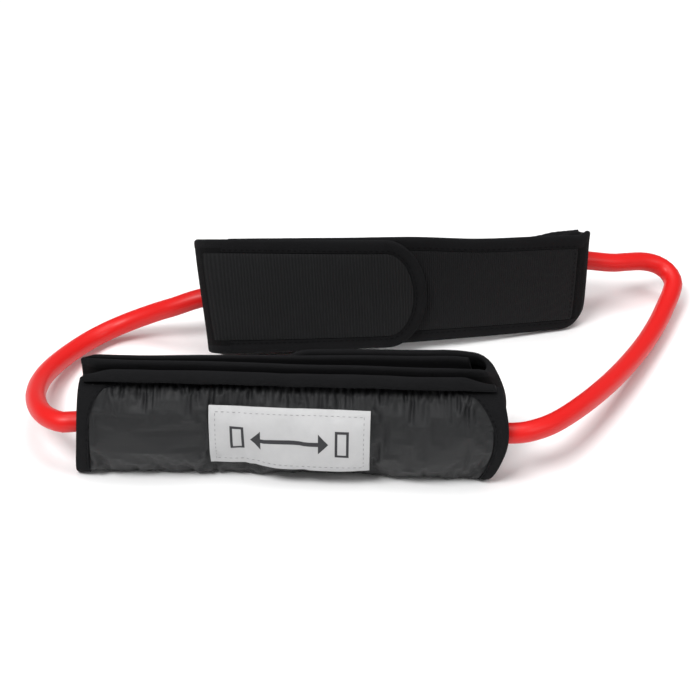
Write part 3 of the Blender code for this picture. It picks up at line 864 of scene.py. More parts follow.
def facing(spot_a, spot_b):
    """The direction from one point to another."""
    return (spot_b - spot_a).normalized()


print("strap round the ring", round(RING_LENGTH * 1000), "mm")


# %% [markdown]
# ## A binding
# A binding is a narrow strip folded over a raw edge and sewn through. In section it is a
# U: two legs and a round fold. The same section serves the straps, the tab and the
# sleeve's mouths. The strip is never quite even, so its fold swells and narrows a little.


# %% The binding's section
def fold_section(half, leg=BINDING_LEG, turns=8):
    """(off the middle, depth below the edge) for the inner and outer face, from leg to leg."""
    inner = half + GAP * 0.4
    outer = half + GAP + BINDING_THICK
    sewn = outer - BINDING_THICK * 0.45
    rows = [
        ((-inner, leg), (-outer * 0.94, leg)),
        ((-inner, leg * 0.8), (-sewn, leg * 0.8)),
        ((-inner, leg * 0.6), (-outer, leg * 0.6)),
    ]
    for count in range(turns + 1):
        turn = math.pi * count / turns
        rows.append(
            tuple(
                (-r * math.cos(turn), outer - r * math.sin(turn)) for r in (inner, outer)
            )
        )
    rows += [
        ((inner, leg * 0.6), (outer, leg * 0.6)),
        ((inner, leg * 0.8), (sewn, leg * 0.8)),
        ((inner, leg), (outer * 0.94, leg)),
    ]
    return rows


def swell(distance, seed):
    """How much the binding's outside stands out at that distance: a share of its thickness."""
    slow = noise.noise(Vector((distance * 45, seed, 0)))
    quick = noise.noise(Vector((distance * 210, seed, 4)))
    return 1.0 + 0.10 * slow + 0.07 * quick


strap_fold = fold_section(STRAP_SOFT / 2)
print("binding section has", len(strap_fold), "rows")


# %% [markdown]
# ## The tab's outline
# The tab runs from the second fold to a rounded tip, which is half an ellipse. Each layer
# of the tab has the same outline, drawn a little further in.


# %% Outline of the tab
def tab_half_height(x, inset):
    """Half the tab's height at x, for an outline drawn inset from the edge."""
    past = (TAB_REACH + TAB_ROUND - x) / (TAB_ROUND - inset)
    tall = CUFF_HEIGHT / 2 - inset
    return tall * math.sqrt(max(0.0, 1 - max(past, 0.0) ** 2))


def tab_stations(inset, start=RIGHT_FOLD_X, spacing=0.003):
    """Stations from the fold to the tip, closer together where the end is round."""
    straight = spread(start, TAB_REACH + TAB_ROUND, spacing)
    turned = [math.radians(angle) for angle in range(6, 87, 6)]
    return straight + [
        TAB_REACH + TAB_ROUND - (TAB_ROUND - inset) * math.sin(turn) for turn in turned
    ]


def tab_outline(inset=0.0, spacing=0.003):
    """The tab's edge as (x, z, inward x, inward z), from the fold round the tip and back."""
    centre = TAB_REACH + TAB_ROUND
    tall = CUFF_HEIGHT / 2 - inset
    middle = CUFF_HEIGHT / 2
    wide = TAB_ROUND - inset
    straight = spread(RIGHT_FOLD_X, centre, spacing)
    line = [(x, middle + tall, 0.0, -1.0) for x in straight[:-1]]
    for count in range(37):
        turn = math.pi * count / 36
        normal = Vector((math.sin(turn) / wide, -math.cos(turn) / tall)).normalized()
        line.append(
            (centre - wide * math.sin(turn), middle + tall * math.cos(turn), normal.x, normal.y)
        )
    line += [(x, middle - tall, 0.0, 1.0) for x in reversed(straight[:-1])]
    return line


# %% [markdown]
# ## The sleeve's section
# The sleeve is flat underneath, round at its lower front edge, and leans back to the seam
# along its top. The section is a list of (out, up) points, and each has its direction.

# %% Section of the sleeve
BASE_ROUND = (0.006, 0.008)
SHOULDER = 0.018


def sleeve_section():
    """Even points up the front of the sleeve, from its lower back edge to its top seam."""
    round_out, round_up = BASE_ROUND
    rows = [Vector((SLEEVE_BACK, 0.0, 0)), Vector((SLEEVE_DEPTH - round_out, 0.0, 0))]
    for count in range(1, 6):
        turn = math.pi / 2 * count / 5
        out = SLEEVE_DEPTH - round_out + round_out * math.sin(turn)
        rows.append(Vector((out, round_up - round_up * math.cos(turn), 0)))
    depth = SLEEVE_DEPTH - SLEEVE_BACK
    tall = SLEEVE_HEIGHT - SHOULDER
    for count in range(9):
        turn = math.pi / 2 * count / 8
        out = SLEEVE_BACK + depth * math.cos(turn) ** 0.85
        rows.append(Vector((out, SHOULDER + tall * math.sin(turn) ** 0.95, 0)))
    return smooth_through(rows, 0.0018)


SECTION = sleeve_section()
SECTION_STEP = sum((b - a).length for a, b in zip(SECTION, SECTION[1:])) / (len(SECTION) - 1)
LAST_ROW = len(SECTION) - 1


def section_at(distance):
    """(out, up, outward) that far up the section."""
    place = min(max(distance / SECTION_STEP, 0.0), LAST_ROW - 1e-6)
    row = int(place)
    spot = SECTION[row].lerp(SECTION[row + 1], place - row)
    run = SECTION[min(row + 2, LAST_ROW)] - SECTION[max(row - 1, 0)]
    outward = Vector((run.y, -run.x)).normalized()
    return spot.x, spot.y, outward


def sleeve_point(stance, x, distance, raised=0.0):
    out, up, outward = section_at(distance)
    y = LABEL_FACE_Y - out - outward.x * raised
    return stance.put(x, y, max(up + outward.y * raised, 0.0002))


SECTION_LENGTH = SECTION_STEP * LAST_ROW
print("sleeve's cloth goes", round(SECTION_LENGTH * 1000), "mm round the foam")


# %% [markdown]
# ## Inflating the sleeve
# The nylon is cut larger than the space it is sewn to, and the foam pushes it out. A cloth
# simulation does the same: the sheet is pinned where it is sewn, it grows a few percent,
# and pressure from inside pushes it outwards, so that it creases at its seams as real
# cloth does. How far a point may go is capped, so the sleeve stays the sleeve's size.

# %% Cloth simulation
GROWTH = 0.045
PRESSURE = 5.0
FARTHEST = 0.0045


def inflate(sheet, pins, frames=20):
    """Runs the cloth on a sheet held at its pins, and leaves the result in its mesh."""
    start = [vert.co.copy() for vert in sheet.data.vertices]
    held = sheet.vertex_groups.new(name="sewn")
    held.add(pins, 1.0, "REPLACE")
    cloth = sheet.modifiers.new("cloth", "CLOTH")
    settings = cloth.settings
    settings.quality = 6
    settings.mass = 0.15
    settings.tension_stiffness = 25
    settings.compression_stiffness = 12
    settings.shear_stiffness = 6
    settings.bending_stiffness = 0.04
    settings.shrink_min = -GROWTH
    settings.vertex_group_mass = "sewn"
    settings.pin_stiffness = 1.0
    settings.use_pressure = True
    settings.uniform_pressure_force = PRESSURE
    settings.effector_weights.gravity = 0
    cloth.collision_settings.use_collision = False
    cloth.point_cache.frame_end = frames
    scene = bpy.context.scene
    for count in range(1, frames + 1):
        scene.frame_set(count)
    graph = bpy.context.evaluated_depsgraph_get()
    moved = [vert.co.copy() for vert in sheet.evaluated_get(graph).data.vertices]
    sheet.modifiers.remove(cloth)
    scene.frame_set(1)
    farthest = 0.0
    for vert, before, after in zip(sheet.data.vertices, start, moved):
        shift = after - before
        farthest = max(farthest, shift.length)
        if shift.length > FARTHEST:
            shift = shift.normalized() * FARTHEST
        vert.co = before + shift
        vert.co.z = max(vert.co.z, 0.0008)
    print(sheet.name, "moved up to", round(farthest * 1000, 1), "mm before the cap")


# %% [markdown]
# ## Building a cuff
# The two cuffs are sewn from the same pattern, so each piece is made by a function that
# is called once for each cuff. First the strap and its two bindings.


# %% The strap round the ring
def build_strap(cuff):
    stance = stances[cuff]
    half = STRAP_SOFT / 2
    around = spread(0, RING_LENGTH, 0.003)

    def on_strap(s, z, w):
        bare = ease((s - RUNS["loop"]) / 0.004)
        flush = half + bare * (GAP + BINDING_THICK * 0.9)
        return ring_point(stance, s, flush if w else -half, z)

    strap = slab(
        cuff + "_ankle_strap",
        around,
        spread(FOLD_RADIUS, CUFF_HEIGHT - FOLD_RADIUS, 0.004),
        on_strap,
    )
    finish_with(strap, knit)
    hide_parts(cuff + "_strap")
    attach(strap, cuff + "_cuff")
    for edge, height, sign in (("top", CUFF_HEIGHT, -1), ("bottom", 0.0, 1)):

        def on_fold(s, row, w, h=height, turn=sign):
            off, depth = strap_fold[row][w]
            if w:
                off *= swell(s, h * 50)
                depth -= (swell(s, h * 50 + 2) - 1) * BINDING_THICK
            return ring_point(stance, s, off, h + turn * depth)

        binding = slab(
            f"{cuff}_strap_{edge}_binding",
            around,
            list(range(len(strap_fold))),
            on_fold,
            measure=lambda s, row: (s, row * 0.0012),
        )
        finish_with(binding, binding_knit)
        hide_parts(f"{cuff}_{edge}_binding")
        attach(binding, cuff + "_cuff")
    return strap


# %% [markdown]
# ## The tab
# The same strap goes on as the tab, with a rounded end bound all round. It is free from
# the peel line to its tip. Its outside is faced with ribbed loop tape.


# %% Round the fold and along the tab
FACING_START = RIGHT_FOLD_X + 0.0075


def tab_spot(stance, along, off, up):
    """A point off the tab's middle; past the fold's line it follows the strap round the fold."""
    past = max(0.0, along - RIGHT_FOLD_X)
    turn = past / RIGHT_FOLD_RADIUS
    radius = RIGHT_FOLD_RADIUS + off
    x = min(along, RIGHT_FOLD_X) + radius * math.sin(turn)
    y = RIGHT_FOLD_Y + radius * math.cos(turn)
    return stance.put(x, y, up)


# %% The tab and its facing
def bends(piece, cuff):
    """Bakes the piece's place into its mesh; the points either side of the peel line are worked out
    but not used.
    """
    stance = stances[cuff]
    start = stance.put(PEEL_LINE + 0.007, TAB_Y, CUFF_HEIGHT / 2)
    end = stance.put(PEEL_LINE - 0.007, TAB_Y, CUFF_HEIGHT / 2)
    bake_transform(piece)


def tab_leaf(cuff, name, inset, low, thick, start=RIGHT_FOLD_X, crown=0.0):
    """One layer of the tab; crown lets its middle stand out like a soft pad."""
    stance = stances[cuff]
    middle = CUFF_HEIGHT / 2

    def place(x, v, w):
        tall = tab_half_height(x, inset)
        near_tip = ease((x - (TAB_REACH + inset)) / 0.012)
        lift = crown * (1 - v**4) * near_tip * w
        return tab_spot(stance, x, low + thick * w + lift, middle + v * tall)

    return slab(
        f"{cuff}_{name}",
        tab_stations(inset, start),
        spread(-1.0, 1.0, 0.1),
        place,
        measure=lambda x, v: (x, v * tab_half_height(x, inset)),
    )


def build_tab(cuff):
    stance = stances[cuff]
    half = STRAP_SOFT / 2
    strap = tab_leaf(cuff, "tab_strap", FOLD_RADIUS, -half, STRAP_SOFT)
    finish_with(strap, knit)
    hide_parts(cuff + "_tab_end")
    facing_tape = tab_leaf(
        cuff, "tab_facing", PATCH_LOW, half + GAP, PATCH_THICK, start=FACING_START, crown=0.0007
    )
    finish_with(facing_tape, tab_tape)
    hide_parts(cuff + "_tab_end_patch", cuff + "_tab_patch")
    outline = tab_outline()

    def on_edge(index, row, w):
        x, z, inward_x, inward_z = outline[index]
        off, depth = strap_fold[row][w]
        if w:
            off *= swell(index * 0.003, 7)
            depth -= (swell(index * 0.003, 9) - 1) * BINDING_THICK
        return stance.put(x + inward_x * depth, TAB_Y + off, z + inward_z * depth)

    binding = slab(
        cuff + "_tab_binding",
        list(range(len(outline))),
        list(range(len(strap_fold))),
        on_edge,
        measure=lambda index, row: (index * 0.003, row * 0.0012),
    )
    finish_with(binding, binding_knit)
    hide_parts(cuff + "_tab_end_binding")
    seam_off = half + GAP + BINDING_THICK

    def seam(inset, off):
        line = []
        for x, z, _, _ in tab_outline(inset, 0.0015):
            inside = stance.put(x, TAB_Y, z)
            outside = stance.put(x, TAB_Y + off, z)
            line.append((outside, facing(inside, outside)))
        return line

    stitches = sew(cuff + "_tab_stitches", [seam(BINDING_LEG - 0.0014, seam_off)])
    finish_with(stitches, dark_thread)
    for piece in (strap, facing_tape, binding, stitches):
        bends(piece, cuff)
    return facing_tape


# %% [markdown]
# ## Hook and loop
# The inside of the tab's end carries hook tape, and the cuff under it carries loop tape.
# The hooks are hundreds of tiny bent stems. One is made from a cone, bent, and
# repeated over the tape in staggered rows, clear of the rounded edge.


# %% Loop tape on the cuff
def build_loop_tape(cuff):
    stance = stances[cuff]
    off = STRAP_SOFT / 2 + GAP * 0.5
    tape = slab(
        cuff + "_loop_tape",
        spread(LOOP_END_X, LEFT_FOLD_X, 0.003),
        spread(PATCH_LOW, CUFF_HEIGHT - PATCH_LOW, 0.003),
        lambda x, z, w: stance.put(x, INNER_Y + off + PATCH_THICK * w, z),
    )
    finish_with(tape, loop_tape)
    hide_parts(cuff + "_loop_patch")
    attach(tape, cuff + "_cuff")
    outer = INNER_Y + off + PATCH_THICK

    def line(points):
        found = []
        for x, z, off_y in points:
            inside = stance.put(x, INNER_Y, z)
            outside = stance.put(x, off_y, z)
            found.append((outside, facing(inside, outside)))
        return found

    binding_face = INNER_Y + STRAP_SOFT / 2 + GAP + BINDING_THICK
    long_way = spread(LOOP_END_X, LEFT_FOLD_X, 0.002)
    inset = BINDING_LEG - 0.0014
    rows = [line([(x, z, binding_face) for x in long_way]) for z in (inset, CUFF_HEIGHT - inset)]
    end_x = LEFT_FOLD_X + 0.0016
    up = spread(PATCH_LOW + 0.001, CUFF_HEIGHT - PATCH_LOW - 0.001, 0.002)
    rows.append(line([(end_x, z, outer) for z in up]))
    sewn = sew(cuff + "_loop_stitches", rows)
    finish_with(sewn, dark_thread)
    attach(sewn, cuff + "_cuff")


# %% Hook tape and its hooks
def build_hooks(cuff):
    stance = stances[cuff]
    off = STRAP_SOFT / 2 + GAP * 0.5
    inset = PATCH_LOW
    start = PEEL_LINE - GAP / 2
    tape = tab_leaf(cuff, "hook_tape", inset, -off - PATCH_THICK, PATCH_THICK * 0.8, start)
    finish_with(tape, hook_plastic)
    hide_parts(cuff + "_hook_patch")
    stem = bmesh.new()
    bmesh.ops.create_cone(
        stem, cap_ends=True, segments=5, radius1=0.00013, radius2=0.00007, depth=0.00042
    )
    upright = [edge for edge in stem.edges if abs(edge.verts[0].co.z - edge.verts[1].co.z) > 1e-5]
    bmesh.ops.subdivide_edges(stem, edges=upright, cuts=2)
    for vert in stem.verts:
        vert.co.x += max(0.0, vert.co.z) ** 2 * 4200
    shape = bpy.data.meshes.new(cuff + "_hook")
    stem.to_mesh(shape)
    stem.free()
    bm = bmesh.new()
    pitch = 0.0019
    count = 0
    for column, x in enumerate(spread(start - 0.002, TAB_REACH + inset + 0.002, pitch)):
        tall = tab_half_height(x, inset) - 0.0015
        if tall < pitch:
            continue
        for z in spread(-tall, tall, pitch):
            spot_z = CUFF_HEIGHT / 2 + z + (pitch / 2 if column % 2 else 0.0)
            root = stance.put(x, TAB_Y - off - PATCH_THICK, spot_z)
            tip = stance.put(x, TAB_Y - off - PATCH_THICK - 0.001, spot_z)
            turn = (tip - root).to_track_quat("Z", "Y").to_matrix().to_4x4()
            before = len(bm.verts)
            bm.from_mesh(shape)
            bm.verts.ensure_lookup_table()
            fresh = bm.verts[before:]
            bmesh.ops.transform(bm, matrix=Matrix.Translation(root) @ turn, verts=fresh)
            count += 1
    bpy.data.meshes.remove(shape)
    hooks = finish_mesh(bm, cuff + "_hooks")
    finish_with(hooks, hook_plastic)
    for piece in (tape, hooks):
        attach(piece, cuff + "_tab")
    print(cuff, "tab has", count, "hooks")


# %% [markdown]
# ## The sleeve
# The sheet of nylon starts as a grid on the sleeve's section, and `inflate` swells it.
# It is pinned along its back edges, under the end bindings, and down one seam beside the
# label. Its top edge is gathered into the roll above, which makes the row of short
# puckers. They are pushed into the mesh afterwards, each of its own depth and spacing.

# %% Creases of the sleeve
SEAM_X = -LABEL_WIDTH / 2 + 0.0012
CREASE_X = 0.0034
GATHER_PITCH = 0.0037


def crease(x, middle, wide):
    """1 on the crease and 0 away from it."""
    return math.exp(-(((x - middle) / wide) ** 2))


def pucker(x, distance, seed):
    """How far the nylon stands in or out there because of its seams."""
    below_top = SECTION_LENGTH - distance
    sway = 1.6 * noise.noise(Vector((x * 60, seed, 1)))
    depth = 0.65 + 0.6 * noise.noise(Vector((x * 130, seed, 2)))
    reach_down = 0.0095 + 0.0070 * noise.noise(Vector((x * 95, seed, 3)))
    pillow = abs(math.sin(math.pi * x / GATHER_PITCH + sway)) ** 0.7
    top = 0.0036 * depth * (pillow - 0.65) * math.exp(-((below_top / reach_down) ** 2))
    near_base = math.exp(-(((distance - 0.018) / 0.012) ** 2))
    base = 0.0005 * near_base * noise.noise(Vector((x * 120, seed, 5)))
    seam_here = 0.0015 * crease(x, SEAM_X, 0.0010)
    fold_here = 0.0007 * crease(x, CREASE_X, 0.0016)
    slow = 0.0006 * noise.noise(Vector((x * 26, distance * 24, seed)))
    corner = 0.0
    for side, start, slope in ((-1, 0.019, 0.35), (1, 0.021, -0.5), (1, 0.016, -0.2)):
        line = side * (SLEEVE_HALF - start) + slope * (below_top - 0.012)
        fade = math.exp(-(((below_top - 0.013) / 0.007) ** 2))
        corner += 0.0013 * crease(x, line, 0.0012) * fade
    return top + base - seam_here - fold_here + slow + corner


# %% Where the label sits on the section
def section_distance(height):
    """How far up the section a height is reached on the front of the sleeve."""
    distance = 0.016
    while section_at(distance)[1] < height:
        distance += 0.0003
    return distance


# %% The sheet before it swells
def sleeve_sheet(cuff):
    """The flat-cut nylon on the sleeve's section, facing outwards, and where it is sewn."""
    stance = stances[cuff]
    bm = flat_grid(
        spread(-SLEEVE_HALF, SLEEVE_HALF, 0.0023),
        spread(0.0, SECTION_LENGTH, 0.0023),
        lambda x, d, w: sleeve_point(stance, x, d, 0.0006 * ease((d - 0.010) / 0.010)),
        lambda x, d: (x, d),
        False,
    )
    bm.normal_update()
    out_there = sleeve_point(stance, 0, SECTION_LENGTH / 2, 0.01)
    nearest = min(bm.faces, key=lambda face: (face.calc_center_median() - out_there).length)
    if nearest.normal.dot(out_there - nearest.calc_center_median()) < 0:
        bmesh.ops.reverse_faces(bm, faces=bm.faces)
    cloth = bm.loops.layers.uv.active
    pinned = []
    for vert in bm.verts:
        x, distance = vert.link_loops[0][cloth].uv
        sewn_end = abs(x) > SLEEVE_HALF - BINDING_LEG * 0.8
        sewn_edge = distance < 0.013 or distance > SECTION_LENGTH - 0.0012
        sewn_seam = abs(x - SEAM_X) < 0.0012
        if sewn_end or sewn_edge or sewn_seam:
            pinned.append(vert.index)
    mesh = bpy.data.meshes.new(cuff + "_sleeve_nylon")
    bm.to_mesh(mesh)
    bm.free()
    sleeve = bpy.data.objects.new(cuff + "_sleeve_nylon", mesh)
    bpy.context.scene.collection.objects.link(sleeve)
    return sleeve, pinned


# %% How wide the mouth's binding is
def mouth_leg(distance):
    """How far the binding reaches in from the sleeve's end, at that distance up the section."""
    below_top = SECTION_LENGTH - distance
    corner = min(max(1 - (below_top - 0.0045) / 0.023, 0.0), 1.0)
    return BINDING_LEG + 0.0150 * (1 - math.sqrt(1 - corner * corner))


# %% Room between nylon and foam
def keep_off(verts, foam, room):
    """Moves each vertex out until it clears the foam by that much, and the floor."""
    for vert in verts:
        near, facing_out, _, _ = foam.find_nearest(vert.co)
        short = room - (vert.co - near).dot(facing_out)
        if short > 0:
            vert.co += facing_out * short
        vert.co.z = max(vert.co.z, 0.0008)


# %% Puckers, after the simulation
def add_puckers(sleeve, stance, foam):
    """Cuts the mesh finer, pushes the puckers in, and keeps the nylon off the foam."""
    bm = bmesh.new()
    bm.from_mesh(sleeve.data)
    bmesh.ops.subdivide_edges(bm, edges=bm.edges, cuts=3, use_grid_fill=True)
    inner = [vert for vert in bm.verts if not vert.is_boundary]
    bmesh.ops.smooth_vert(
        bm, verts=inner, factor=0.35, use_axis_x=True, use_axis_y=True, use_axis_z=True
    )
    bm.normal_update()
    cloth = bm.loops.layers.uv.active
    low = section_distance(LABEL_LOW)
    for vert in bm.verts:
        x, distance = vert.link_loops[0][cloth].uv
        past_binding = CUFF_LENGTH / 2 - abs(x) - mouth_leg(distance) + 0.001
        inside_ends = ease(past_binding / 0.004) * ease((distance - 0.012) / 0.004)
        under_label = abs(x) < LABEL_WIDTH / 2 and low - 0.002 < distance < low + LABEL_TALL
        flat = 0.25 if under_label else 1.0
        vert.co += vert.normal * pucker(x, distance, stance.seed.x) * inside_ends * flat
    inner = [vert for vert in bm.verts if not vert.is_boundary]
    for room in (0.0012, 0.0008):
        keep_off(inner, foam, room)
        if room > 0.001:
            bmesh.ops.smooth_vert(
                bm, verts=inner, factor=0.5, use_axis_x=True, use_axis_y=True, use_axis_z=True
            )
    for face in bm.faces:
        face.smooth = True
    bm.to_mesh(sleeve.data)
    bm.free()


# %% The foam, slumped with its sleeve
def build_foam(cuff):
    """The foam as modelled, with its upper part settled like the cloth round it."""
    stance = stances[cuff]
    bm = bmesh.new()
    bm.from_mesh(frame["nodes"][cuff + "_sleeve_foam"].data)
    for vert in bm.verts:
        upright = stance.take(vert.co)
        pressed_y = min(upright.y + 0.0018, max(upright.y, LABEL_FACE_Y - SLEEVE_BACK - 0.0015))
        settled = stance.put(upright.x, pressed_y, upright.z)
        share = ease((upright.z / CUFF_HEIGHT - 0.60) / 0.15)
        vert.co = vert.co.lerp(settled, share)
    foam = finish_mesh(bm, cuff + "_foam_filling", smooth=False)
    finish_with(foam, open_foam)
    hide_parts(cuff + "_sleeve_foam")
    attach(foam, cuff + "_cuff")
    return foam


# %% The sleeve's nylon
def build_sleeve(cuff):
    stance = stances[cuff]
    foam = build_foam(cuff)
    sleeve, pinned = sleeve_sheet(cuff)
    inflate(sleeve, pinned)
    add_puckers(sleeve, stance, tree_of(foam))
    thick = sleeve.modifiers.new("cloth thickness", "SOLIDIFY")
    thick.thickness = 0.0007
    thick.offset = -1
    finish_with(sleeve, nylon)
    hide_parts(cuff + "_sleeve_shell")
    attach(sleeve, cuff + "_cuff")
    print(sleeve.name, "has", len(sleeve.data.polygons), "faces of cloth")
    return sleeve


# %% [markdown]
# ## What is sewn onto the sleeve
# The label, the end bindings and their stitches lie on the swollen nylon. Each of their
# points is dropped onto it along the sleeve's own outward direction, and then lifted by
# the cloth's thickness, so that they follow every crease.


# %% Lying on the nylon
def tree_of(obj):
    """The object's surface, ready for quick distance questions."""
    points = [vert.co.copy() for vert in obj.data.vertices]
    faces = [tuple(face.vertices) for face in obj.data.polygons]
    return BVHTree.FromPolygons(points, faces)


def lay_on(stance, surface, x, distance, lift):
    """The point of the nylon there, lifted off it."""
    base = sleeve_point(stance, x, distance, 0.0)
    above = sleeve_point(stance, x, distance, 0.010)
    outward = (above - base).normalized()
    found = surface.ray_cast(base + outward * 0.012, -outward, 0.024)
    if found[0] is None:
        return base + outward * lift, outward
    return found[0] + outward * lift, outward


# %% The label
def build_label(cuff, sleeve):
    stance = stances[cuff]
    surface = tree_of(sleeve)
    low = section_distance(LABEL_LOW)
    half_wide = LABEL_WIDTH / 2
    askew = math.radians(-0.7) if cuff == "front" else math.radians(1.0)

    def ripple(x, distance):
        return 0.00025 * noise.noise(Vector((x * 90, distance * 70, stance.seed.x + 6)))

    def place(flat_x, flat_distance, w):
        up = flat_distance - low - LABEL_TALL / 2
        x = flat_x * math.cos(askew) - up * math.sin(askew)
        distance = flat_distance + flat_x * math.sin(askew)
        smooth = [
            lay_on(stance, surface, x + dx, distance + dd, 0.0)[0]
            for dx, dd in ((0, 0), (0.004, 0), (-0.004, 0), (0, 0.003), (0, -0.003))
        ]
        middle = sum(smooth, Vector()) / len(smooth)
        outward = lay_on(stance, surface, x, distance, 0.0)[1]
        near = [
            lay_on(stance, surface, x + dx, distance + dd, 0.0)[0]
            for dx in (-0.0015, 0, 0.0015)
            for dd in (-0.0015, 0, 0.0015)
        ]
        highest = max((spot - middle).dot(outward) for spot in near)
        lift = max(0.0, highest) + 0.0004 + 0.0005 * w + ripple(x, distance)
        return middle + outward * lift

    label = slab(
        cuff + "_woven_label",
        spread(-half_wide, half_wide, 0.0025),
        spread(low, low + LABEL_TALL, 0.0025),
        place,
        measure=lambda x, distance: (x, distance - low - LABEL_TALL / 2),
        soften=0.00015,
    )
    finish_with(label, woven_label)
    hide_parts(cuff + "_label")
    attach(label, cuff + "_cuff")
    inset = 0.0030
    left, right = -half_wide + inset, half_wide - inset
    bottom, top = low + inset, low + LABEL_TALL - inset
    corners = [(left, bottom), (right, bottom), (right, top), (left, top), (left, bottom)]
    face = tree_of(label)
    lines = []
    for (xa, da), (xb, db) in zip(corners, corners[1:]):
        steps = max(2, round(max(abs(xb - xa), abs(db - da)) / 0.002))
        line = []
        for count in range(steps + 1):
            share = count / steps
            x, distance = xa + (xb - xa) * share, da + (db - da) * share
            up = distance - low - LABEL_TALL / 2
            turned_x = x * math.cos(askew) - up * math.sin(askew)
            turned_distance = distance + x * math.sin(askew)
            line.append(lay_on(stance, face, turned_x, turned_distance, 0.00004))
        lines.append(line)
    stitches = sew(cuff + "_label_stitches", lines, pitch=0.0028, long=0.0017, wide=0.00036)
    finish_with(stitches, grey_thread)
    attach(stitches, cuff + "_cuff")
    return label


# %% [markdown]
# ## Bindings of the sleeve's mouths
# A binding closes the raw end of the sleeve at each mouth, where the tube comes out. Near
# the top it grows wider and rounds the nylon's corner, because the strip turns there to
# meet the roll.


# %% Mouth bindings
def build_mouths(cuff, sleeve):
    stance = stances[cuff]
    surface = tree_of(sleeve)
    fold = fold_section(SLEEVE_SHELL / 2)
    lines = []
    up = spread(EDGE * 1.2, SECTION_LENGTH, 0.0022)
    for side, sign in (("left", -1), ("right", 1)):
        edge_x = sign * CUFF_LENGTH / 2

        def on_mouth(distance, row, w, edge=edge_x, turn=sign):
            off, depth = fold[row][w]
            stretch = mouth_leg(distance) / BINDING_LEG if depth > 0.003 else 1.0
            if w:
                off *= swell(distance, edge * 90)
            x = edge - turn * depth * stretch
            raised = off - SLEEVE_SHELL / 2
            if off > 0 and depth > 0.002:
                spot, outward = lay_on(stance, surface, x, distance, 0.0)
                lift = 0.00012 + BINDING_THICK * 1.1 * w
                return spot + outward * lift
            return sleeve_point(stance, x, distance, raised)

        binding = slab(
            f"{cuff}_{side}_end_binding",
            up,
            list(range(len(fold))),
            on_mouth,
            measure=lambda distance, row: (distance, row * 0.0012),
        )
        finish_with(binding, binding_knit)
        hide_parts(f"{cuff}_{side}_mouth_binding")
        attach(binding, cuff + "_cuff")
        line = []
        face = tree_of(binding)
        for distance in spread(0.014, SECTION_LENGTH - 0.004, 0.0015):
            x = edge_x - sign * (mouth_leg(distance) - 0.0013)
            line.append(lay_on(stance, face, x, distance, 0.00003))
        lines.append(line)
    stitches = sew(cuff + "_end_stitches", lines)
    finish_with(stitches, dark_thread)
    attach(stitches, cuff + "_cuff")


# %% [markdown]
# ## The roll along the top
# A roll of knit covers the sleeve's top seam. It is a soft tube of cloth that swells and
# pinches between its stitches, and at each end it narrows and turns down into the corner.


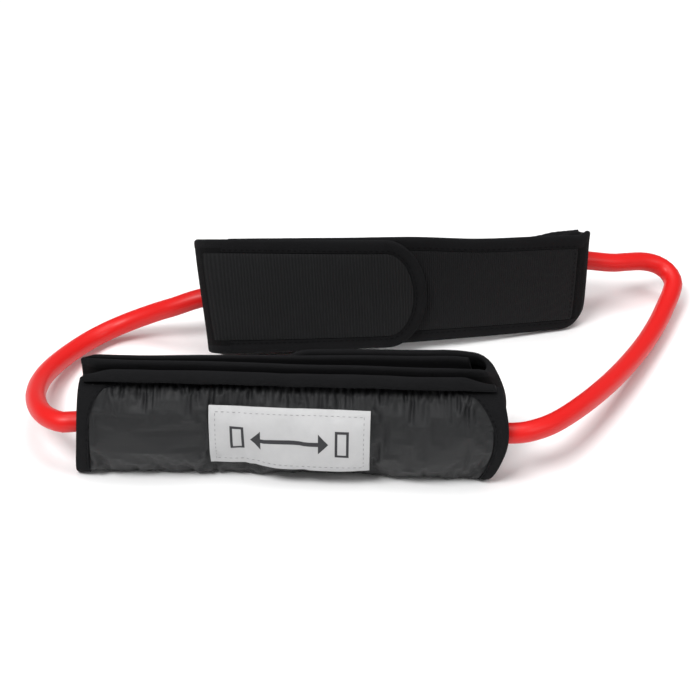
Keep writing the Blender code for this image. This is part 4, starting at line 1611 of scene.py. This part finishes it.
# %% The roll
def build_roll(cuff):
    stance = stances[cuff]
    radius = SLEEVE_ROLL / 2
    middle_out = SLEEVE_BACK + radius
    middle_up = SLEEVE_HEIGHT + EDGE + GAP + radius
    half = SLEEVE_HALF - 0.001
    line = spread(-half, half, 0.0018)
    bm = bmesh.new()
    ring = bmesh.ops.create_circle(bm, segments=20, radius=1.0)["verts"]
    shape = [vert.co.copy() for vert in ring]
    edges = list({edge for vert in ring for edge in vert.link_edges})
    cloth = bm.loops.layers.uv.new("cloth")
    stations = {}

    def place(x, corner):
        near_end = ease((half - abs(x)) / 0.020)
        size = 0.55 + 0.45 * near_end
        swollen = 1.0 + 0.09 * noise.noise(Vector((x * 75, corner.x, stance.seed.x)))
        pinch = 1.0 - 0.05 * (0.5 + 0.5 * math.cos(math.tau * x / GATHER_PITCH)) * (corner.x > 0)
        r = radius * 0.88 * size * swollen * pinch
        out = middle_out + corner.x * r * 1.05
        up = middle_up - (1 - near_end) * 0.0022 + corner.y * r
        return stance.put(x, LABEL_FACE_Y - out, up)

    for index, x in enumerate(line):
        for vert, corner in zip(ring, shape):
            vert.co = place(x, corner)
            stations[vert] = x
        if index == len(line) - 1:
            break
        grown = bmesh.ops.extrude_edge_only(bm, edges=edges)["geom"]
        edges = [item for item in grown if isinstance(item, bmesh.types.BMEdge)]
        fresh = [item for item in grown if isinstance(item, bmesh.types.BMVert)]
        order = {round_key(vert.co): vert for vert in fresh}
        ring = [order[round_key(vert.co)] for vert in ring]
    for vert, x in stations.items():
        for loop in vert.link_loops:
            loop[cloth].uv = (x, vert.co.z + vert.co.y)
    bmesh.ops.holes_fill(bm, edges=[edge for edge in bm.edges if edge.is_boundary], sides=0)
    bmesh.ops.recalc_face_normals(bm, faces=bm.faces)
    roll = finish_mesh(bm, cuff + "_top_roll")
    finish_with(roll, binding_knit)
    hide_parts(cuff + "_sleeve_piping")
    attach(roll, cuff + "_cuff")
    return roll


# %% Sewing both cuffs
for cuff in ("front", "rear"):
    build_strap(cuff)
    build_tab(cuff)
    build_loop_tape(cuff)
    build_hooks(cuff)
    sleeve = build_sleeve(cuff)
    build_label(cuff, sleeve)
    build_mouths(cuff, sleeve)
    build_roll(cuff)

# %% [markdown]
# ## Floor and light
# A plain pale floor and three broad soft lights: one above and to the left, a weaker one
# to the right, and a broad one almost straight overhead.


# %% Floor
def build_floor():
    made, shader, place = new_finish("pale floor", on_cloth=False)
    grain = cloudy(place, 40.0, 2.0)
    colour = mixed(grain, (0.93, 0.93, 0.93), (0.95, 0.95, 0.95))
    close_finish(made, shader, colour, 0.85 + grain * 0.05, grain, 0.00001)
    bm = bmesh.new()
    bmesh.ops.create_grid(bm, x_segments=1, y_segments=1, size=6)
    mesh = bpy.data.meshes.new("floor")
    bm.to_mesh(mesh)
    bm.free()
    floor = bpy.data.objects.new("floor", mesh)
    floor.data.materials.append(made)
    bpy.context.scene.collection.objects.link(floor)


build_floor()


# %% Lights
def soft_light(name, place, wide, tall, power):
    """A rectangular light that faces the band."""
    lamp = bpy.data.lights.new(name, "AREA")
    lamp.shape = "RECTANGLE"
    lamp.size = wide
    lamp.size_y = tall
    lamp.energy = power
    holder = bpy.data.objects.new(name, lamp)
    holder.location = place
    holder.rotation_euler = (aim - Vector(place)).to_track_quat("-Z", "Y").to_euler()
    bpy.context.scene.collection.objects.link(holder)


soft_light("key light", (-0.60, -0.70, 1.50), 0.7, 0.5, 23)
soft_light("top light", (0.10, 0.15, 1.60), 1.4, 0.9, 15)
soft_light("fill light", (1.10, -0.60, 1.00), 0.6, 0.6, 5)
world = bpy.data.worlds.new("studio")
world.use_nodes = True
sky = world.node_tree.nodes["Background"]
sky.inputs["Color"].default_value = (1.0, 1.0, 1.0, 1.0)
sky.inputs["Strength"].default_value = 0.22
bpy.context.scene.world = world
bpy.context.scene.view_settings.view_transform = "Standard"
